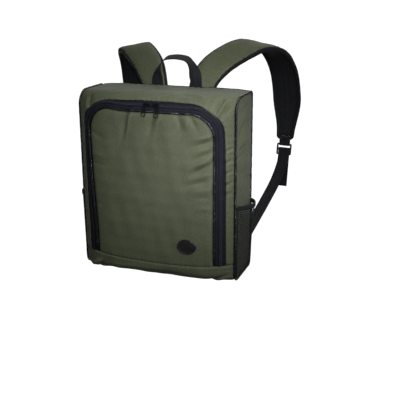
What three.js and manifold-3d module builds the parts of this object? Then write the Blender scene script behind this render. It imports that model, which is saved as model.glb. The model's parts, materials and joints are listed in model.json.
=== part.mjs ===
// A soft laptop backpack in olive cloth with black trim, as it hangs from a wearer's shoulders.
// Millimetres, +Z up. -Y is the bag's front, +Y is its back panel and the wearer, and +X is on the right
// of someone who looks at the front. The origin lies midway between the two shoulder straps, under
// their highest points, where they sit on the shoulders. Shapes are worked out in the bag's own frame,
// whose z = 0 is the base and y = 0 the seam plane of the back, and the last lines move them there.
import * as THREE from "three";
import { mergeVertices } from "three/addons/utils/BufferGeometryUtils.js";
import Module from "manifold-3d";

const wasm = await Module();
wasm.setup();

// Bag body
const BAG_WIDTH = 330; // between the centre lines of the two side pipings
const BAG_HEIGHT = 371; // base to top along the side piping
const SIDE_DEPTH = 105; // front to back along the side panel
const FRONT_SWELL = 36; // how far the middle of the front stands ahead of the side piping
const TOP_SWELL = 4; // how far the middle of the top stands above the side piping
const BASE_LIFT = 3; // how far the side panel's lower edge sits above z = 0
const MIDDLE_BASE = 10; // how far the middle of the base is drawn up above z = 0
const ROLL_POWER = 6; // how late the front rolls back towards the side piping
const SIDE_TOP_RADIUS = 30;
const SIDE_BASE_RADIUS = 16;
const SIDE_BACK_RADIUS = 9;
const MIDDLE_TOP_RADIUS = 46;
const MIDDLE_BASE_RADIUS = 16;
const SEAM_HEIGHT = 41; // the seam between the opening panel and the base panel
const CLOTH = 1.6;
const SIDE_CLOTH = 1.6;
const BACK_PAD = 8;
const GAP = 0.4; // clearance between sewn neighbours

// Opening panel, zip band and patch
const PANEL_HALF_WIDTH = 128.5;
const PANEL_DROP = 29; // from the bag's height down to the panel's top, along the cloth
const PANEL_CORNER = 45;
const BAND_WIDTH = 27; // from the opening panel's edge to the border's edge, along the cloth
const BAND_CORNER = 62;
const TOP_BORDER = 8; // from the zip band's top to the seam where the top begins, along the cloth
const PANEL_PIPING_RADIUS = 2.1;
const PANEL_PIPING_LIFT = 0.6;
const PANEL_PIPING_STOP = 12; // how far above the seam the panel's piping ends
const TAPE_THICKNESS = 1.2;
const TAPE_SET_BACK = 0.2;
const COIL_WIDTH = 6;
const COIL_THICKNESS = 2.4;
const COIL_OFFSET = 15.4; // from the panel's edge to the middle of the coil
const PATCH_X = 76;
const PATCH_Z = 80;
const PATCH_WIDTH = 40;
const PATCH_HEIGHT = 30;
const PATCH_THICKNESS = 1.6;

// Zip sliders and pulls
const SLIDER_SPACING = 17;
const SLIDER_MIDDLE_X = 5;
const SLIDER_LENGTH = 13;
const SLIDER_WIDTH = 7.2;
const SLIDER_CORNER = 2;
const SLIDER_PLATE = 1.2;
const ARCH_LENGTH = 10;
const ARCH_LEG = 1.2;
const ARCH_WIDTH = 1.6;
const ARCH_WINDOW = 4.4;
const ARCH_SINK = 0.5;
const ARCH_CORNER = 0.4;
const WINDOW_CORNER = 0.1;
const WINDOW_SILL = 0.2;
const PULL_AXIS_HEIGHT = 2.3; // above the slider's plate
const PULL_THICKNESS = 1.1;
const PULL_WIDTH = 7.2;
const PULL_EYE_WIDTH = 4.4;
const PULL_EYE_ABOVE = 1.3;
const PULL_EYE_BELOW = 6;
const PULL_RIM = 1.1;
const PULL_EYE_CORNER = 0.5;
const PULL_LENGTH = 21; // hinge line to the middle of the ring
const PULL_RING_RADIUS = 5;
const PULL_RING_HOLE = 3.3;
const PULL_REST_TILT = 12; // degrees, towards the cloth

// Side piping and side pockets
const PIPING_RADIUS = 2.25;
const POCKET_MOUTH_FRONT = 161;
const POCKET_MOUTH_BACK = 150;
const POCKET_BULGE = 20;
const POCKET_BASE_RISE = 26; // height over which the pocket fills out from its lower edge
const POCKET_FOOT = 0.35; // share of the bulge that is left at the pocket's foot
const POCKET_ROUNDNESS = 0.7; // how soon the pocket stands off from front to back, less is sooner
const NET_THICKNESS = 1.1;
const ELASTIC_HEIGHT = 9;
const ELASTIC_THICKNESS = 2.2;

// Shoulder straps, as worn
const STRAP_WIDTH = 62;
const STRAP_FACE = 1.8;
const STRAP_PAD = 9;
const STRAP_CROWN = 3; // how much the padding falls away at the strap's edges
const BINDING_WIDTH = 6;
const BINDING_HEIGHT = 10;
const STRAP_ROOT_X = 52;
const CHEST_X = 186;
const CHEST_DEPTH = 198; // from the strap's root to its foremost point
const STRAP_TILT = 0.2; // outward slope of the strap across the shoulder
const RIGHT_STRAP_RISE = 77; // above the bag's top
const LEFT_STRAP_RISE = 65;
const STRAP_ROUTE = [
  { out: 0.0, forward: 0.0, rise: 0.0, drop: 0.07 },
  { out: 0.0, forward: 0.0, rise: 0.0, drop: 0.01 },
  { out: 0.07, forward: 0.05, rise: 0.3, drop: 0.0 },
  { out: 0.24, forward: 0.18, rise: 0.66, drop: 0.0 },
  { out: 0.61, forward: 0.44, rise: 1.0, drop: 0.0 },
  { out: 0.85, forward: 0.67, rise: 0.83, drop: 0.0 },
  { out: 0.96, forward: 0.87, rise: 0.28, drop: 0.0 },
  { out: 1.0, forward: 0.97, rise: 0.0, drop: 0.1 },
  { out: 1.0, forward: 1.0, rise: 0.0, drop: 0.25 },
  { out: 0.99, forward: 0.98, rise: 0.0, drop: 0.36 },
];
const STRAP_TAPER = [
  { along: 0.0, width: 0.84 },
  { along: 0.2, width: 1.0 },
  { along: 0.8, width: 1.0 },
  { along: 1.0, width: 0.62 },
];

// Lower webbing, its buckle and the carrying loop
const WEBBING_WIDTH = 25;
const WEBBING = 1.5;
const BUCKLE_WIDTH = 34;
const BUCKLE_BAR = 3.2;
const BUCKLE_SLOT = 8.4;
const BUCKLE_THICKNESS = 3.2;
const BUCKLE_CORNER = 3;
const BUCKLE_BELOW_PAD = 12;
const WEBBING_CLEARANCE = 0.6;
const TAIL_LENGTH = 75;
const TAIL_LIFT = 2;
const ANCHOR_X = 141;
const ANCHOR_FOOT = 0.05; // share of the bag's height
const WEBBING_ROUTE = [
  { out: 0.0, forward: 0.0, up: 0.0 },
  { out: 0.02, forward: 0.0, up: 0.05 },
  { out: 0.1, forward: 0.03, up: 0.17 },
  { out: 0.32, forward: 0.25, up: 0.34 },
  { out: 0.6, forward: 0.55, up: 0.55 },
  { out: 0.87, forward: 0.83, up: 0.78 },
];
const LOOP_ROOT_X = 43;
const LOOP_RISE = 60;
const LOOP_FOOT = 16; // how far the loop's ends reach down the back panel
const LOOP_WIDTH = 25;
const LOOP_THICKNESS = 2;
const LOOP_TURNED = 0.9; // share of the rise by which it is edge on
const LOOP_ROUTE = [
  { out: 1.0, rise: 0.0 },
  { out: 0.98, rise: 0.3 },
  { out: 0.86, rise: 0.66 },
  { out: 0.58, rise: 0.93 },
  { out: 0.2, rise: 1.0 },
];

// The main dents and swells of the front, top and base, each a long soft oval. Its middle lies at
// shares of the half width and of the height along the cloth, lean turns it from upright towards +X in
// degrees, length and width are shares of the bag's width, and lift is a share of the front's swell.
const FOLDS = [
  { across: -0.34, up: 0.83, lean: 14, length: 0.3, width: 0.11, lift: -0.09 },
  { across: -0.23, up: 0.86, lean: 14, length: 0.22, width: 0.1, lift: 0.07 },
  { across: 0.04, up: 0.85, lean: 14, length: 0.26, width: 0.1, lift: -0.07 },
  { across: 0.4, up: 0.87, lean: -8, length: 0.24, width: 0.12, lift: -0.05 },
  { across: 0.68, up: 0.76, lean: 76, length: 0.22, width: 0.12, lift: -0.08 },
  { across: 0.66, up: 0.62, lean: 66, length: 0.28, width: 0.12, lift: -0.09 },
  { across: 0.88, up: 0.95, lean: 28, length: 0.2, width: 0.09, lift: -0.08 },
  { across: -0.82, up: 0.97, lean: -8, length: 0.2, width: 0.1, lift: -0.07 },
  { across: 0.1, up: 1.24, lean: 88, length: 1.0, width: 0.2, lift: -0.08 },
  { across: -0.84, up: 0.03, lean: 80, length: 0.14, width: 0.16, lift: 0.12 },
  { across: 0.82, up: 0.04, lean: 40, length: 0.2, width: 0.1, lift: -0.08 },
];

// Steps of the faceted shapes
const LEG_STEPS = 7;
const CORNER_STEPS = 6;
const TOP_STEPS = 8;
const PANEL_COLUMNS = 14;
const BORDER_COLUMNS = 4;
const BASE_ROWS = 9;
const TOP_ROWS = 8;
const STRAP_ROWS = 24;
const STRAP_COLUMNS = 4;
const WEBBING_ROWS = 16;
const LOOP_STEPS = 22;
const POCKET_COLUMNS = 9;
const POCKET_ROWS = 8;
const TUBE_SIDES = 6;
const PATCH_SIDES = 24;

const OLIVE = new THREE.MeshStandardMaterial({ color: 0x5c6146, roughness: 0.85, metalness: 0 });
const BLACK_CLOTH = new THREE.MeshStandardMaterial({ color: 0x1a1b1f, roughness: 0.9, metalness: 0 });
const BLACK_GLOSS = new THREE.MeshStandardMaterial({ color: 0x121317, roughness: 0.35, metalness: 0 });
const BLACK_METAL = new THREE.MeshStandardMaterial({ color: 0x17181a, roughness: 0.4, metalness: 0.6 });
const BLACK_NET = new THREE.MeshStandardMaterial({ color: 0x1f2220, roughness: 0.9, metalness: 0 });
const BLACK_LEATHER = new THREE.MeshStandardMaterial({ color: 0x1b1a18, roughness: 0.5, metalness: 0 });

const QUARTER = Math.PI / 2;
const HALF_WIDTH = BAG_WIDTH / 2;
const BACK_FACE = GAP / 2 + BACK_PAD; // the wearer's side of the back panel
const panelTop = BAG_HEIGHT - PANEL_DROP; // heights here are measured along the cloth
const topSeam = panelTop + BAND_WIDTH + TOP_BORDER;
const mix = THREE.MathUtils.lerp;
const share = (value, low, high) => THREE.MathUtils.clamp((value - low) / (high - low), 0, 1);

// Moves each vertex of a geometry to the place that the function gives for it.
function deform(geometry, place) {
  const position = geometry.attributes.position;
  for (let i = 0; i < position.count; i += 1) {
    const moved = place(position.getX(i), position.getY(i), position.getZ(i));
    position.setXYZ(i, moved.x, moved.y, moved.z);
  }
  return geometry;
}

// A closed sheet: place(across, along, through) takes shares from 0 to 1. The quads of its inner face
// are split along the same diagonal as those of its outer face, so that stacked sheets stay parallel.
function sheet(columns, rows, place) {
  const box = new THREE.BoxGeometry(1, 1, 1, columns, rows, 1);
  const innerFace = box.groups[5];
  const index = box.index;
  for (let i = innerFace.start; i < innerFace.start + innerFace.count; i += 6) {
    const [a, b, d, c] = [index.getX(i), index.getX(i + 1), index.getX(i + 2), index.getX(i + 4)];
    [a, b, c, a, c, d].forEach((vertex, k) => index.setX(i + k, vertex));
  }
  return deform(box, (x, y, z) => place(x + 0.5, y + 0.5, z + 0.5));
}

// A closed oval tube through a list of frames, each with its origin, across and normal directions.
function tube(frames, sides, halfWidth, halfHeight) {
  const steps = frames.length - 1;
  const cylinder = new THREE.CylinderGeometry(1, 1, 1, sides, steps);
  return deform(cylinder, (x, y, z) => {
    const frame = frames[Math.round((y + 0.5) * steps)];
    return frame.origin
      .clone()
      .addScaledVector(frame.across, x * halfWidth)
      .addScaledVector(frame.normal, z * halfHeight);
  });
}

// Frames along a row of points. guide(i) is the across direction, or the normal if byNormal is set.
function framesAlong(points, guide, byNormal = false) {
  return points.map((origin, i) => {
    const before = points[Math.max(i - 1, 0)];
    const after = points[Math.min(i + 1, points.length - 1)];
    const along = after.clone().sub(before).normalize();
    const lead = guide(i).clone();
    lead.addScaledVector(along, -lead.dot(along)).normalize();
    const across = byNormal ? along.clone().cross(lead) : lead;
    const normal = byNormal ? lead : lead.clone().cross(along);
    return { origin, along, across, normal };
  });
}

function at(frame, across, along, normal) {
  return frame.origin
    .clone()
    .addScaledVector(frame.across, across)
    .addScaledVector(frame.along, along)
    .addScaledVector(frame.normal, normal);
}

// The front-to-back section of the bag, as five stretches from the back of the base, round the front,
// to the back of the top. Each stretch gives y and z for a share of its length.
function makeSection({ front, top, base, topRadius, baseRadius }) {
  return [
    { length: -front - baseRadius, place: (f) => [f * (front + baseRadius), base] },
    {
      length: baseRadius * QUARTER,
      place: (f) => [
        front + baseRadius - baseRadius * Math.sin(f * QUARTER),
        base + baseRadius - baseRadius * Math.cos(f * QUARTER),
      ],
    },
    {
      length: top - topRadius - base - baseRadius,
      place: (f) => [front, mix(base + baseRadius, top - topRadius, f)],
    },
    {
      length: topRadius * QUARTER,
      place: (f) => [
        front + topRadius - topRadius * Math.cos(f * QUARTER),
        top - topRadius + topRadius * Math.sin(f * QUARTER),
      ],
    },
    { length: -front - topRadius, place: (f) => [mix(front + topRadius, 0, f), top] },
  ];
}

const middleSection = makeSection({
  front: -SIDE_DEPTH - FRONT_SWELL,
  top: BAG_HEIGHT + TOP_SWELL,
  base: MIDDLE_BASE,
  topRadius: MIDDLE_TOP_RADIUS,
  baseRadius: MIDDLE_BASE_RADIUS,
});
const sideSection = makeSection({
  front: -SIDE_DEPTH,
  top: BAG_HEIGHT,
  base: BASE_LIFT,
  topRadius: SIDE_TOP_RADIUS,
  baseRadius: SIDE_BASE_RADIUS,
});

// Heights along the cloth, measured up the middle section so that they equal z on the flat of the front.
const stretchStarts = [];
{
  let height = MIDDLE_BASE + MIDDLE_BASE_RADIUS - middleSection[0].length - middleSection[1].length;
  for (const stretch of middleSection) {
    stretchStarts.push(height);
    height += stretch.length;
  }
  stretchStarts.push(height);
}
const BASE_END = stretchStarts[0];
const TOP_END = stretchStarts[5];

// How far the folds lift the cloth at a place on it.
function foldLift(x, height) {
  return FOLDS.reduce((sum, fold) => {
    const lean = THREE.MathUtils.degToRad(fold.lean);
    const aside = x - fold.across * HALF_WIDTH;
    const above = height - fold.up * BAG_HEIGHT;
    const along = (above * Math.cos(lean) + aside * Math.sin(lean)) / (fold.length * HALF_WIDTH);
    const over = (aside * Math.cos(lean) - above * Math.sin(lean)) / (fold.width * HALF_WIDTH);
    return sum + fold.lift * FRONT_SWELL * Math.exp(-(along ** 2) - over ** 2);
  }, 0);
}

// The bag's outer cloth: x across the bag, and the height along the cloth.
function bagSurface(x, height) {
  let index = 0;
  while (index < 4 && height > stretchStarts[index + 1]) index += 1;
  const part = share(height, stretchStarts[index], stretchStarts[index + 1]);
  const [middleY, middleZ] = middleSection[index].place(part);
  const [sideY, sideZ] = sideSection[index].place(part);
  const roll = Math.abs(x / HALF_WIDTH) ** ROLL_POWER;
  const turn = [-1, part - 1, 0, part, 1][index] * QUARTER;
  const lift = foldLift(x, height) * (1 - roll);
  const y = mix(middleY, sideY, roll) - lift * Math.cos(turn);
  return new THREE.Vector3(x, y, mix(middleZ, sideZ, roll) + lift * Math.sin(turn));
}

function bagNormal(x, height) {
  const reach = 1;
  const across = bagSurface(x + reach, height).sub(bagSurface(x - reach, height));
  const low = Math.max(height - reach, BASE_END);
  const high = Math.min(height + reach, TOP_END);
  return across.cross(bagSurface(x, high).sub(bagSurface(x, low))).normalize();
}

function onBag(x, height, lift) {
  return bagSurface(x, height).addScaledVector(bagNormal(x, height), lift);
}

// The x that lies a given way across the cloth from a starting x, halfway up the front.
function stepAcross(start, distance) {
  const step = 0.25;
  const height = BAG_HEIGHT / 2;
  let x = start;
  let covered = 0;
  while (covered < distance && x < HALF_WIDTH - PIPING_RADIUS) {
    covered += bagSurface(x, height).distanceTo(bagSurface(x + step, height));
    x += step;
  }
  return x;
}

// An upright U turned over: up the left leg, round a corner, along the top and down the right leg.
const BAND_STEPS = 2 * LEG_STEPS + 2 * CORNER_STEPS + TOP_STEPS;
const BAND_BASE = SEAM_HEIGHT + GAP / 2;
const bandHalfWidth = stepAcross(PANEL_HALF_WIDTH, BAND_WIDTH);

function uOutline(along, halfWidth, top, corner, base) {
  const step = along * BAND_STEPS;
  const mirrored = step > BAND_STEPS / 2;
  const k = mirrored ? BAND_STEPS - step : step;
  const side = mirrored ? 1 : -1;
  if (k <= LEG_STEPS) return { x: side * halfWidth, height: mix(base, top - corner, k / LEG_STEPS) };
  if (k <= LEG_STEPS + CORNER_STEPS) {
    const turn = ((k - LEG_STEPS) / CORNER_STEPS) * QUARTER;
    return {
      x: side * (halfWidth - corner + corner * Math.cos(turn)),
      height: top - corner + corner * Math.sin(turn),
    };
  }
  const inward = (k - LEG_STEPS - CORNER_STEPS) / (TOP_STEPS / 2);
  return { x: side * mix(halfWidth - corner, 0, inward), height: top };
}

// The outline that lies a given distance out from the opening panel's edge, across the zip band.
function bandOutline(along, distance, base = BAND_BASE) {
  const inner = uOutline(along, PANEL_HALF_WIDTH, panelTop, PANEL_CORNER, base);
  const outer = uOutline(along, bandHalfWidth, panelTop + BAND_WIDTH, BAND_CORNER, base);
  const part = distance / BAND_WIDTH;
  return { x: mix(inner.x, outer.x, part), height: mix(inner.height, outer.height, part) };
}

// The border's outer edge: up the side piping, across the seam of the top, and down again.
const clothHalfWidth = HALF_WIDTH - PIPING_RADIUS - GAP;

function borderEdge(along) {
  const step = along * BAND_STEPS;
  const mirrored = step > BAND_STEPS / 2;
  const k = mirrored ? BAND_STEPS - step : step;
  const side = mirrored ? 1 : -1;
  const legTop = panelTop + BAND_WIDTH - BAND_CORNER;
  const end = topSeam - GAP / 2;
  if (k <= LEG_STEPS) return { x: side * clothHalfWidth, height: mix(BAND_BASE, legTop, k / LEG_STEPS) };
  const turn = (k - LEG_STEPS) / CORNER_STEPS;
  if (turn <= 0.5) return { x: side * clothHalfWidth, height: mix(legTop, end, turn * 2) };
  const topX = bandHalfWidth - BAND_CORNER;
  if (turn <= 1) return { x: side * mix(clothHalfWidth, topX, turn * 2 - 1), height: end };
  const inward = (k - LEG_STEPS - CORNER_STEPS) / (TOP_STEPS / 2);
  return { x: side * mix(topX, 0, inward), height: end };
}

function bandStrip(outerEdge, innerEdge, columns, top, thickness) {
  return sheet(columns, BAND_STEPS, (across, along, through) => {
    const outer = outerEdge(along);
    const inner = innerEdge(along);
    const x = mix(outer.x, inner.x, across);
    const height = mix(outer.height, inner.height, across);
    return onBag(x, height, mix(top - thickness, top, through));
  });
}

function bandFrames(distance, lift, base = BAND_BASE) {
  const places = Array.from({ length: BAND_STEPS + 1 }, (_, i) =>
    bandOutline(i / BAND_STEPS, distance, base),
  );
  const points = places.map((p) => onBag(p.x, p.height, lift));
  return framesAlong(points, (i) => bagNormal(places[i].x, places[i].height), true);
}

function openingPanel() {
  const rows = LEG_STEPS + CORNER_STEPS;
  return sheet(PANEL_COLUMNS, rows, (across, along, through) => {
    const row = uOutline((along * rows) / BAND_STEPS, PANEL_HALF_WIDTH, panelTop, PANEL_CORNER, BAND_BASE);
    const x = mix(row.x, -row.x, across);
    return onBag(x, row.height, mix(-CLOTH, 0, through));
  });
}

// A panel that runs from one side piping to the other, between two heights along the cloth.
function crossPanel(rows, low, high) {
  return sheet(PANEL_COLUMNS, rows, (across, along, through) => {
    const height = mix(low + GAP / 2, high - GAP / 2, along);
    return onBag(mix(-clothHalfWidth, clothHalfWidth, across), height, mix(-CLOTH, 0, through));
  });
}

function backPanel() {
  return sheet(PANEL_COLUMNS, 1, (across, along, through) => {
    const x = mix(clothHalfWidth, -clothHalfWidth, across);
    const z = mix(bagSurface(x, BASE_END).z, bagSurface(x, TOP_END).z, along);
    return new THREE.Vector3(x, mix(GAP / 2, BACK_FACE, through), z);
  });
}

// The side panel's outline, drawn in from the seam by an inset. Shape x is the bag's y and shape y its z.
function sideOutline(inset) {
  const front = -SIDE_DEPTH + inset;
  const back = -inset;
  const base = BASE_LIFT + inset;
  const top = BAG_HEIGHT - inset;
  const topRadius = SIDE_TOP_RADIUS - inset;
  const baseRadius = SIDE_BASE_RADIUS - inset;
  const backRadius = SIDE_BACK_RADIUS - inset;
  const outline = new THREE.Shape();
  outline.absarc(back - backRadius, top - backRadius, backRadius, 0, QUARTER);
  outline.absarc(front + topRadius, top - topRadius, topRadius, QUARTER, 2 * QUARTER);
  outline.absarc(front + baseRadius, base + baseRadius, baseRadius, 2 * QUARTER, 3 * QUARTER);
  outline.absarc(back - backRadius, base + backRadius, backRadius, 3 * QUARTER, 4 * QUARTER);
  outline.closePath();
  return outline;
}

function sidePanel() {
  const outline = sideOutline(PIPING_RADIUS + GAP);
  const plate = new THREE.ExtrudeGeometry(outline, {
    depth: SIDE_CLOTH,
    bevelEnabled: false,
    curveSegments: 5,
  });
  return deform(plate, (x, y, z) => new THREE.Vector3(HALF_WIDTH - SIDE_CLOTH / 2 + z, x, y));
}

// A closed ring of piping round the side panel's seam.
function sidePiping() {
  const cornerSteps = 4;
  const seam = sideOutline(0).extractPoints(cornerSteps).shape;
  if (seam[0].distanceTo(seam[seam.length - 1]) < GAP) seam.pop();
  const count = seam.length;
  const ring = new THREE.TorusGeometry(1, 0.5, TUBE_SIDES, count);
  const uv = ring.attributes.uv;
  const position = ring.attributes.position;
  for (let i = 0; i < position.count; i += 1) {
    const k = Math.round(uv.getX(i) * count) % count;
    const before = seam[(k + count - 1) % count];
    const after = seam[(k + 1) % count];
    const along = after.clone().sub(before).normalize();
    const angle = uv.getY(i) * 4 * QUARTER;
    const out = PIPING_RADIUS * Math.cos(angle);
    const y = seam[k].x + along.y * out;
    const z = seam[k].y - along.x * out;
    position.setXYZ(i, HALF_WIDTH + PIPING_RADIUS * Math.sin(angle), y, z);
  }
  return ring;
}

// The side pocket's net stands off the side panel and opens at the top.
const pocketFront = -SIDE_DEPTH + PIPING_RADIUS + GAP;
const pocketBack = -PIPING_RADIUS - GAP;
const pocketSeat = HALF_WIDTH + SIDE_CLOTH / 2 + GAP;

function pocketBase(y) {
  const front = SIDE_BASE_RADIUS - PIPING_RADIUS - GAP;
  const back = SIDE_BACK_RADIUS - PIPING_RADIUS - GAP;
  const fromFront = Math.max(front - (y - pocketFront), 0);
  const fromBack = Math.max(back - (pocketBack - y), 0);
  const liftFront = front - Math.sqrt(Math.max(front ** 2 - fromFront ** 2, 0));
  const liftBack = back - Math.sqrt(Math.max(back ** 2 - fromBack ** 2, 0));
  return BASE_LIFT + PIPING_RADIUS + GAP + liftFront + liftBack;
}

function pocketMouth(y) {
  return mix(POCKET_MOUTH_FRONT, POCKET_MOUTH_BACK, share(y, pocketFront, pocketBack));
}

function pocketStand(y, z) {
  const across = share(y, pocketFront, pocketBack);
  const up = share(z, pocketBase(y), pocketMouth(y));
  const fill = Math.sqrt(share(z - pocketBase(y), 0, POCKET_BASE_RISE));
  const stand = Math.sin(across * Math.PI) ** POCKET_ROUNDNESS;
  return POCKET_BULGE * mix(POCKET_FOOT, 1, up) * fill * stand;
}

function pocketNet() {
  return sheet(POCKET_COLUMNS, POCKET_ROWS, (across, along, through) => {
    const y = mix(pocketFront, pocketBack, across);
    const z = mix(pocketBase(y), pocketMouth(y) - ELASTIC_HEIGHT - GAP, along);
    const x = pocketSeat + pocketStand(y, z) + NET_THICKNESS * through;
    return new THREE.Vector3(x, y, z);
  });
}

function pocketElastic() {
  return sheet(POCKET_COLUMNS, 1, (across, along, through) => {
    const y = mix(pocketFront, pocketBack, across);
    const z = pocketMouth(y) - ELASTIC_HEIGHT * (1 - along);
    const x = pocketSeat + pocketStand(y, z) + ELASTIC_THICKNESS * through;
    return new THREE.Vector3(x, y, z);
  });
}

function patch() {
  const disc = new THREE.CylinderGeometry(1, 1, 1, PATCH_SIDES, 1);
  return deform(disc, (x, y, z) =>
    onBag(
      PATCH_X + (x * PATCH_WIDTH) / 2,
      PATCH_Z - (z * PATCH_HEIGHT) / 2,
      GAP + PATCH_THICKNESS * (y + 0.5),
    ),
  );
}

// A closed mesh as a solid that can be joined to another, and back again.
function toSolid(geometry) {
  const bare = geometry.index ? geometry.toNonIndexed() : geometry.clone();
  bare.deleteAttribute("normal");
  bare.deleteAttribute("uv");
  const merged = mergeVertices(bare, 1e-4);
  const mesh = new wasm.Mesh({
    numProp: 3,
    vertProperties: merged.attributes.position.array,
    triVerts: new Uint32Array(merged.index.array),
  });
  return new wasm.Manifold(mesh);
}

function fromSolid(solid) {
  const mesh = solid.getMesh();
  const geometry = new THREE.BufferGeometry();
  geometry.setAttribute("position", new THREE.BufferAttribute(mesh.vertProperties, 3));
  geometry.setIndex(new THREE.BufferAttribute(mesh.triVerts, 1));
  return geometry;
}

function roundedRectangle(halfWidth, low, high, radius) {
  const outline = new THREE.Shape();
  outline.absarc(halfWidth - radius, high - radius, radius, 0, QUARTER);
  outline.absarc(-halfWidth + radius, high - radius, radius, QUARTER, 2 * QUARTER);
  outline.absarc(-halfWidth + radius, low + radius, radius, 2 * QUARTER, 3 * QUARTER);
  outline.absarc(halfWidth - radius, low + radius, radius, 3 * QUARTER, 4 * QUARTER);
  outline.closePath();
  return outline;
}

// The slider's own frame: x along the zip, y up the cloth and z out of it, with z = 0 on the coil's top.
const plateTop = GAP + SLIDER_PLATE;

function zipSlider() {
  const plate = new THREE.ExtrudeGeometry(
    roundedRectangle(SLIDER_LENGTH / 2, -SLIDER_WIDTH / 2, SLIDER_WIDTH / 2, SLIDER_CORNER),
    { depth: SLIDER_PLATE, bevelEnabled: false, curveSegments: 3 },
  );
  plate.translate(0, 0, GAP);
  const windowTop = ARCH_SINK + ARCH_WINDOW;
  const windowHalf = ARCH_LENGTH / 2 - ARCH_LEG;
  const profile = roundedRectangle(ARCH_LENGTH / 2, 0, windowTop + ARCH_LEG, ARCH_CORNER);
  const window = roundedRectangle(windowHalf, WINDOW_SILL, windowTop, WINDOW_CORNER);
  profile.holes.push(window);
  const arch = new THREE.ExtrudeGeometry(profile, {
    depth: ARCH_WIDTH,
    bevelEnabled: false,
    curveSegments: 2,
  });
  arch.rotateX(QUARTER);
  arch.translate(0, ARCH_WIDTH / 2, plateTop - ARCH_SINK);
  return fromSolid(toSolid(plate).add(toSolid(arch)));
}

// The pull lies in its own x-y plane with its hinge line along x at the origin, and hangs towards -y.
function zipPull() {
  const halfWidth = PULL_WIDTH / 2;
  const top = PULL_EYE_ABOVE + PULL_RIM;
  const ringTop = -PULL_LENGTH + Math.sqrt(PULL_RING_RADIUS ** 2 - halfWidth ** 2);
  const start = Math.atan2(ringTop + PULL_LENGTH, halfWidth);
  const outline = new THREE.Shape();
  outline.moveTo(halfWidth, top);
  outline.lineTo(-halfWidth, top);
  outline.lineTo(-halfWidth, ringTop);
  outline.absarc(0, -PULL_LENGTH, PULL_RING_RADIUS, Math.PI - start, 2 * Math.PI + start);
  outline.closePath();
  const eye = roundedRectangle(PULL_EYE_WIDTH / 2, -PULL_EYE_BELOW, PULL_EYE_ABOVE, PULL_EYE_CORNER);
  const ring = new THREE.Path();
  ring.absarc(0, -PULL_LENGTH, PULL_RING_HOLE, 0, 2 * Math.PI, true);
  outline.holes.push(eye, ring);
  const plate = new THREE.ExtrudeGeometry(outline, {
    depth: PULL_THICKNESS,
    bevelEnabled: false,
    curveSegments: 6,
  });
  plate.translate(0, 0, -PULL_THICKNESS / 2);
  return plate;
}

// Shoulder straps. Both are worked out on the right, and the left one is mirrored.
const strapRootY = BACK_FACE + GAP + LOOP_THICKNESS + 4 * GAP + STRAP_FACE + STRAP_PAD / 2;
const STRAP_ACROSS = new THREE.Vector3(1, 0, -STRAP_TILT);
const ACROSS = new THREE.Vector3(1, 0, 0);

function samples(points, count) {
  return new THREE.CatmullRomCurve3(points, false, "centripetal").getSpacedPoints(count);
}

function strapFrames(rise) {
  const route = STRAP_ROUTE.map(
    (p) =>
      new THREE.Vector3(
        mix(STRAP_ROOT_X, CHEST_X, p.out),
        strapRootY + CHEST_DEPTH * p.forward,
        BAG_HEIGHT * (1 - p.drop) + rise * p.rise,
      ),
  );
  return framesAlong(samples(route, STRAP_ROWS), () => STRAP_ACROSS);
}

function strapHalfWidth(along) {
  let i = 0;
  while (i < STRAP_TAPER.length - 2 && along > STRAP_TAPER[i + 1].along) i += 1;
  const here = STRAP_TAPER[i];
  const next = STRAP_TAPER[i + 1];
  const part = THREE.MathUtils.smoothstep(along, here.along, next.along);
  return (mix(here.width, next.width, part) * STRAP_WIDTH) / 2;
}

// One layer of the strap between two lifts off its middle line, thinner towards its edges.
function strapLayer(frames, low, high, edgeLow, edgeHigh) {
  return sheet(STRAP_COLUMNS, STRAP_ROWS, (across, along, through) => {
    const frame = frames[Math.round(along * STRAP_ROWS)];
    const side = 2 * across - 1;
    const halfWidth = strapHalfWidth(along) - BINDING_WIDTH - GAP;
    const edge = side ** 4;
    const lift = mix(mix(low, edgeLow, edge), mix(high, edgeHigh, edge), through);
    return at(frame, side * halfWidth, 0, lift);
  });
}

// The binding folds round the strap's edges: down the outer edge, across the lower end and back up.
function strapBinding(frames) {
  const cornerAngles = [30, 60];
  const edge = (i, side) => {
    const halfWidth = strapHalfWidth(i / STRAP_ROWS) - BINDING_WIDTH / 2;
    return at(frames[i], side * halfWidth, 0, -STRAP_FACE / 2);
  };
  const last = frames[STRAP_ROWS];
  const endHalf = strapHalfWidth(1) - BINDING_WIDTH / 2;
  const radius = BINDING_WIDTH;
  const endDrop = 3 * GAP + BINDING_WIDTH / 2;
  const corner = (side) =>
    cornerAngles.map((degrees) => {
      const angle = THREE.MathUtils.degToRad(side > 0 ? degrees : 90 - degrees);
      return at(
        last,
        side * (endHalf - radius + radius * Math.cos(angle)),
        endDrop - radius + radius * Math.sin(angle),
        -STRAP_FACE / 2,
      );
    });
  const steps = Array.from({ length: STRAP_ROWS }, (_, i) => i);
  const points = [
    ...steps.map((i) => edge(i, 1)),
    ...corner(1),
    at(last, endHalf - radius, endDrop, -STRAP_FACE / 2),
    at(last, -endHalf + radius, endDrop, -STRAP_FACE / 2),
    ...corner(-1),
    ...steps.map((i) => edge(STRAP_ROWS - 1 - i, -1)),
  ];
  const nearest = (i) => frames[Math.min(i, points.length - 1 - i, STRAP_ROWS)];
  const binding = framesAlong(points, (i) => nearest(i).normal, true);
  return tube(binding, TUBE_SIDES, BINDING_WIDTH / 2, BINDING_HEIGHT / 2);
}

// The buckle's frame lies on the strap's lower end: x across, y down the strap, z out from the wearer.
function buckleFrame(frames) {
  const last = frames[STRAP_ROWS];
  const frame = { ...last };
  frame.origin = at(last, 0, GAP + BINDING_WIDTH + BUCKLE_BELOW_PAD, -STRAP_FACE / 2);
  return frame;
}

const barPitch = BUCKLE_BAR + BUCKLE_SLOT;

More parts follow.
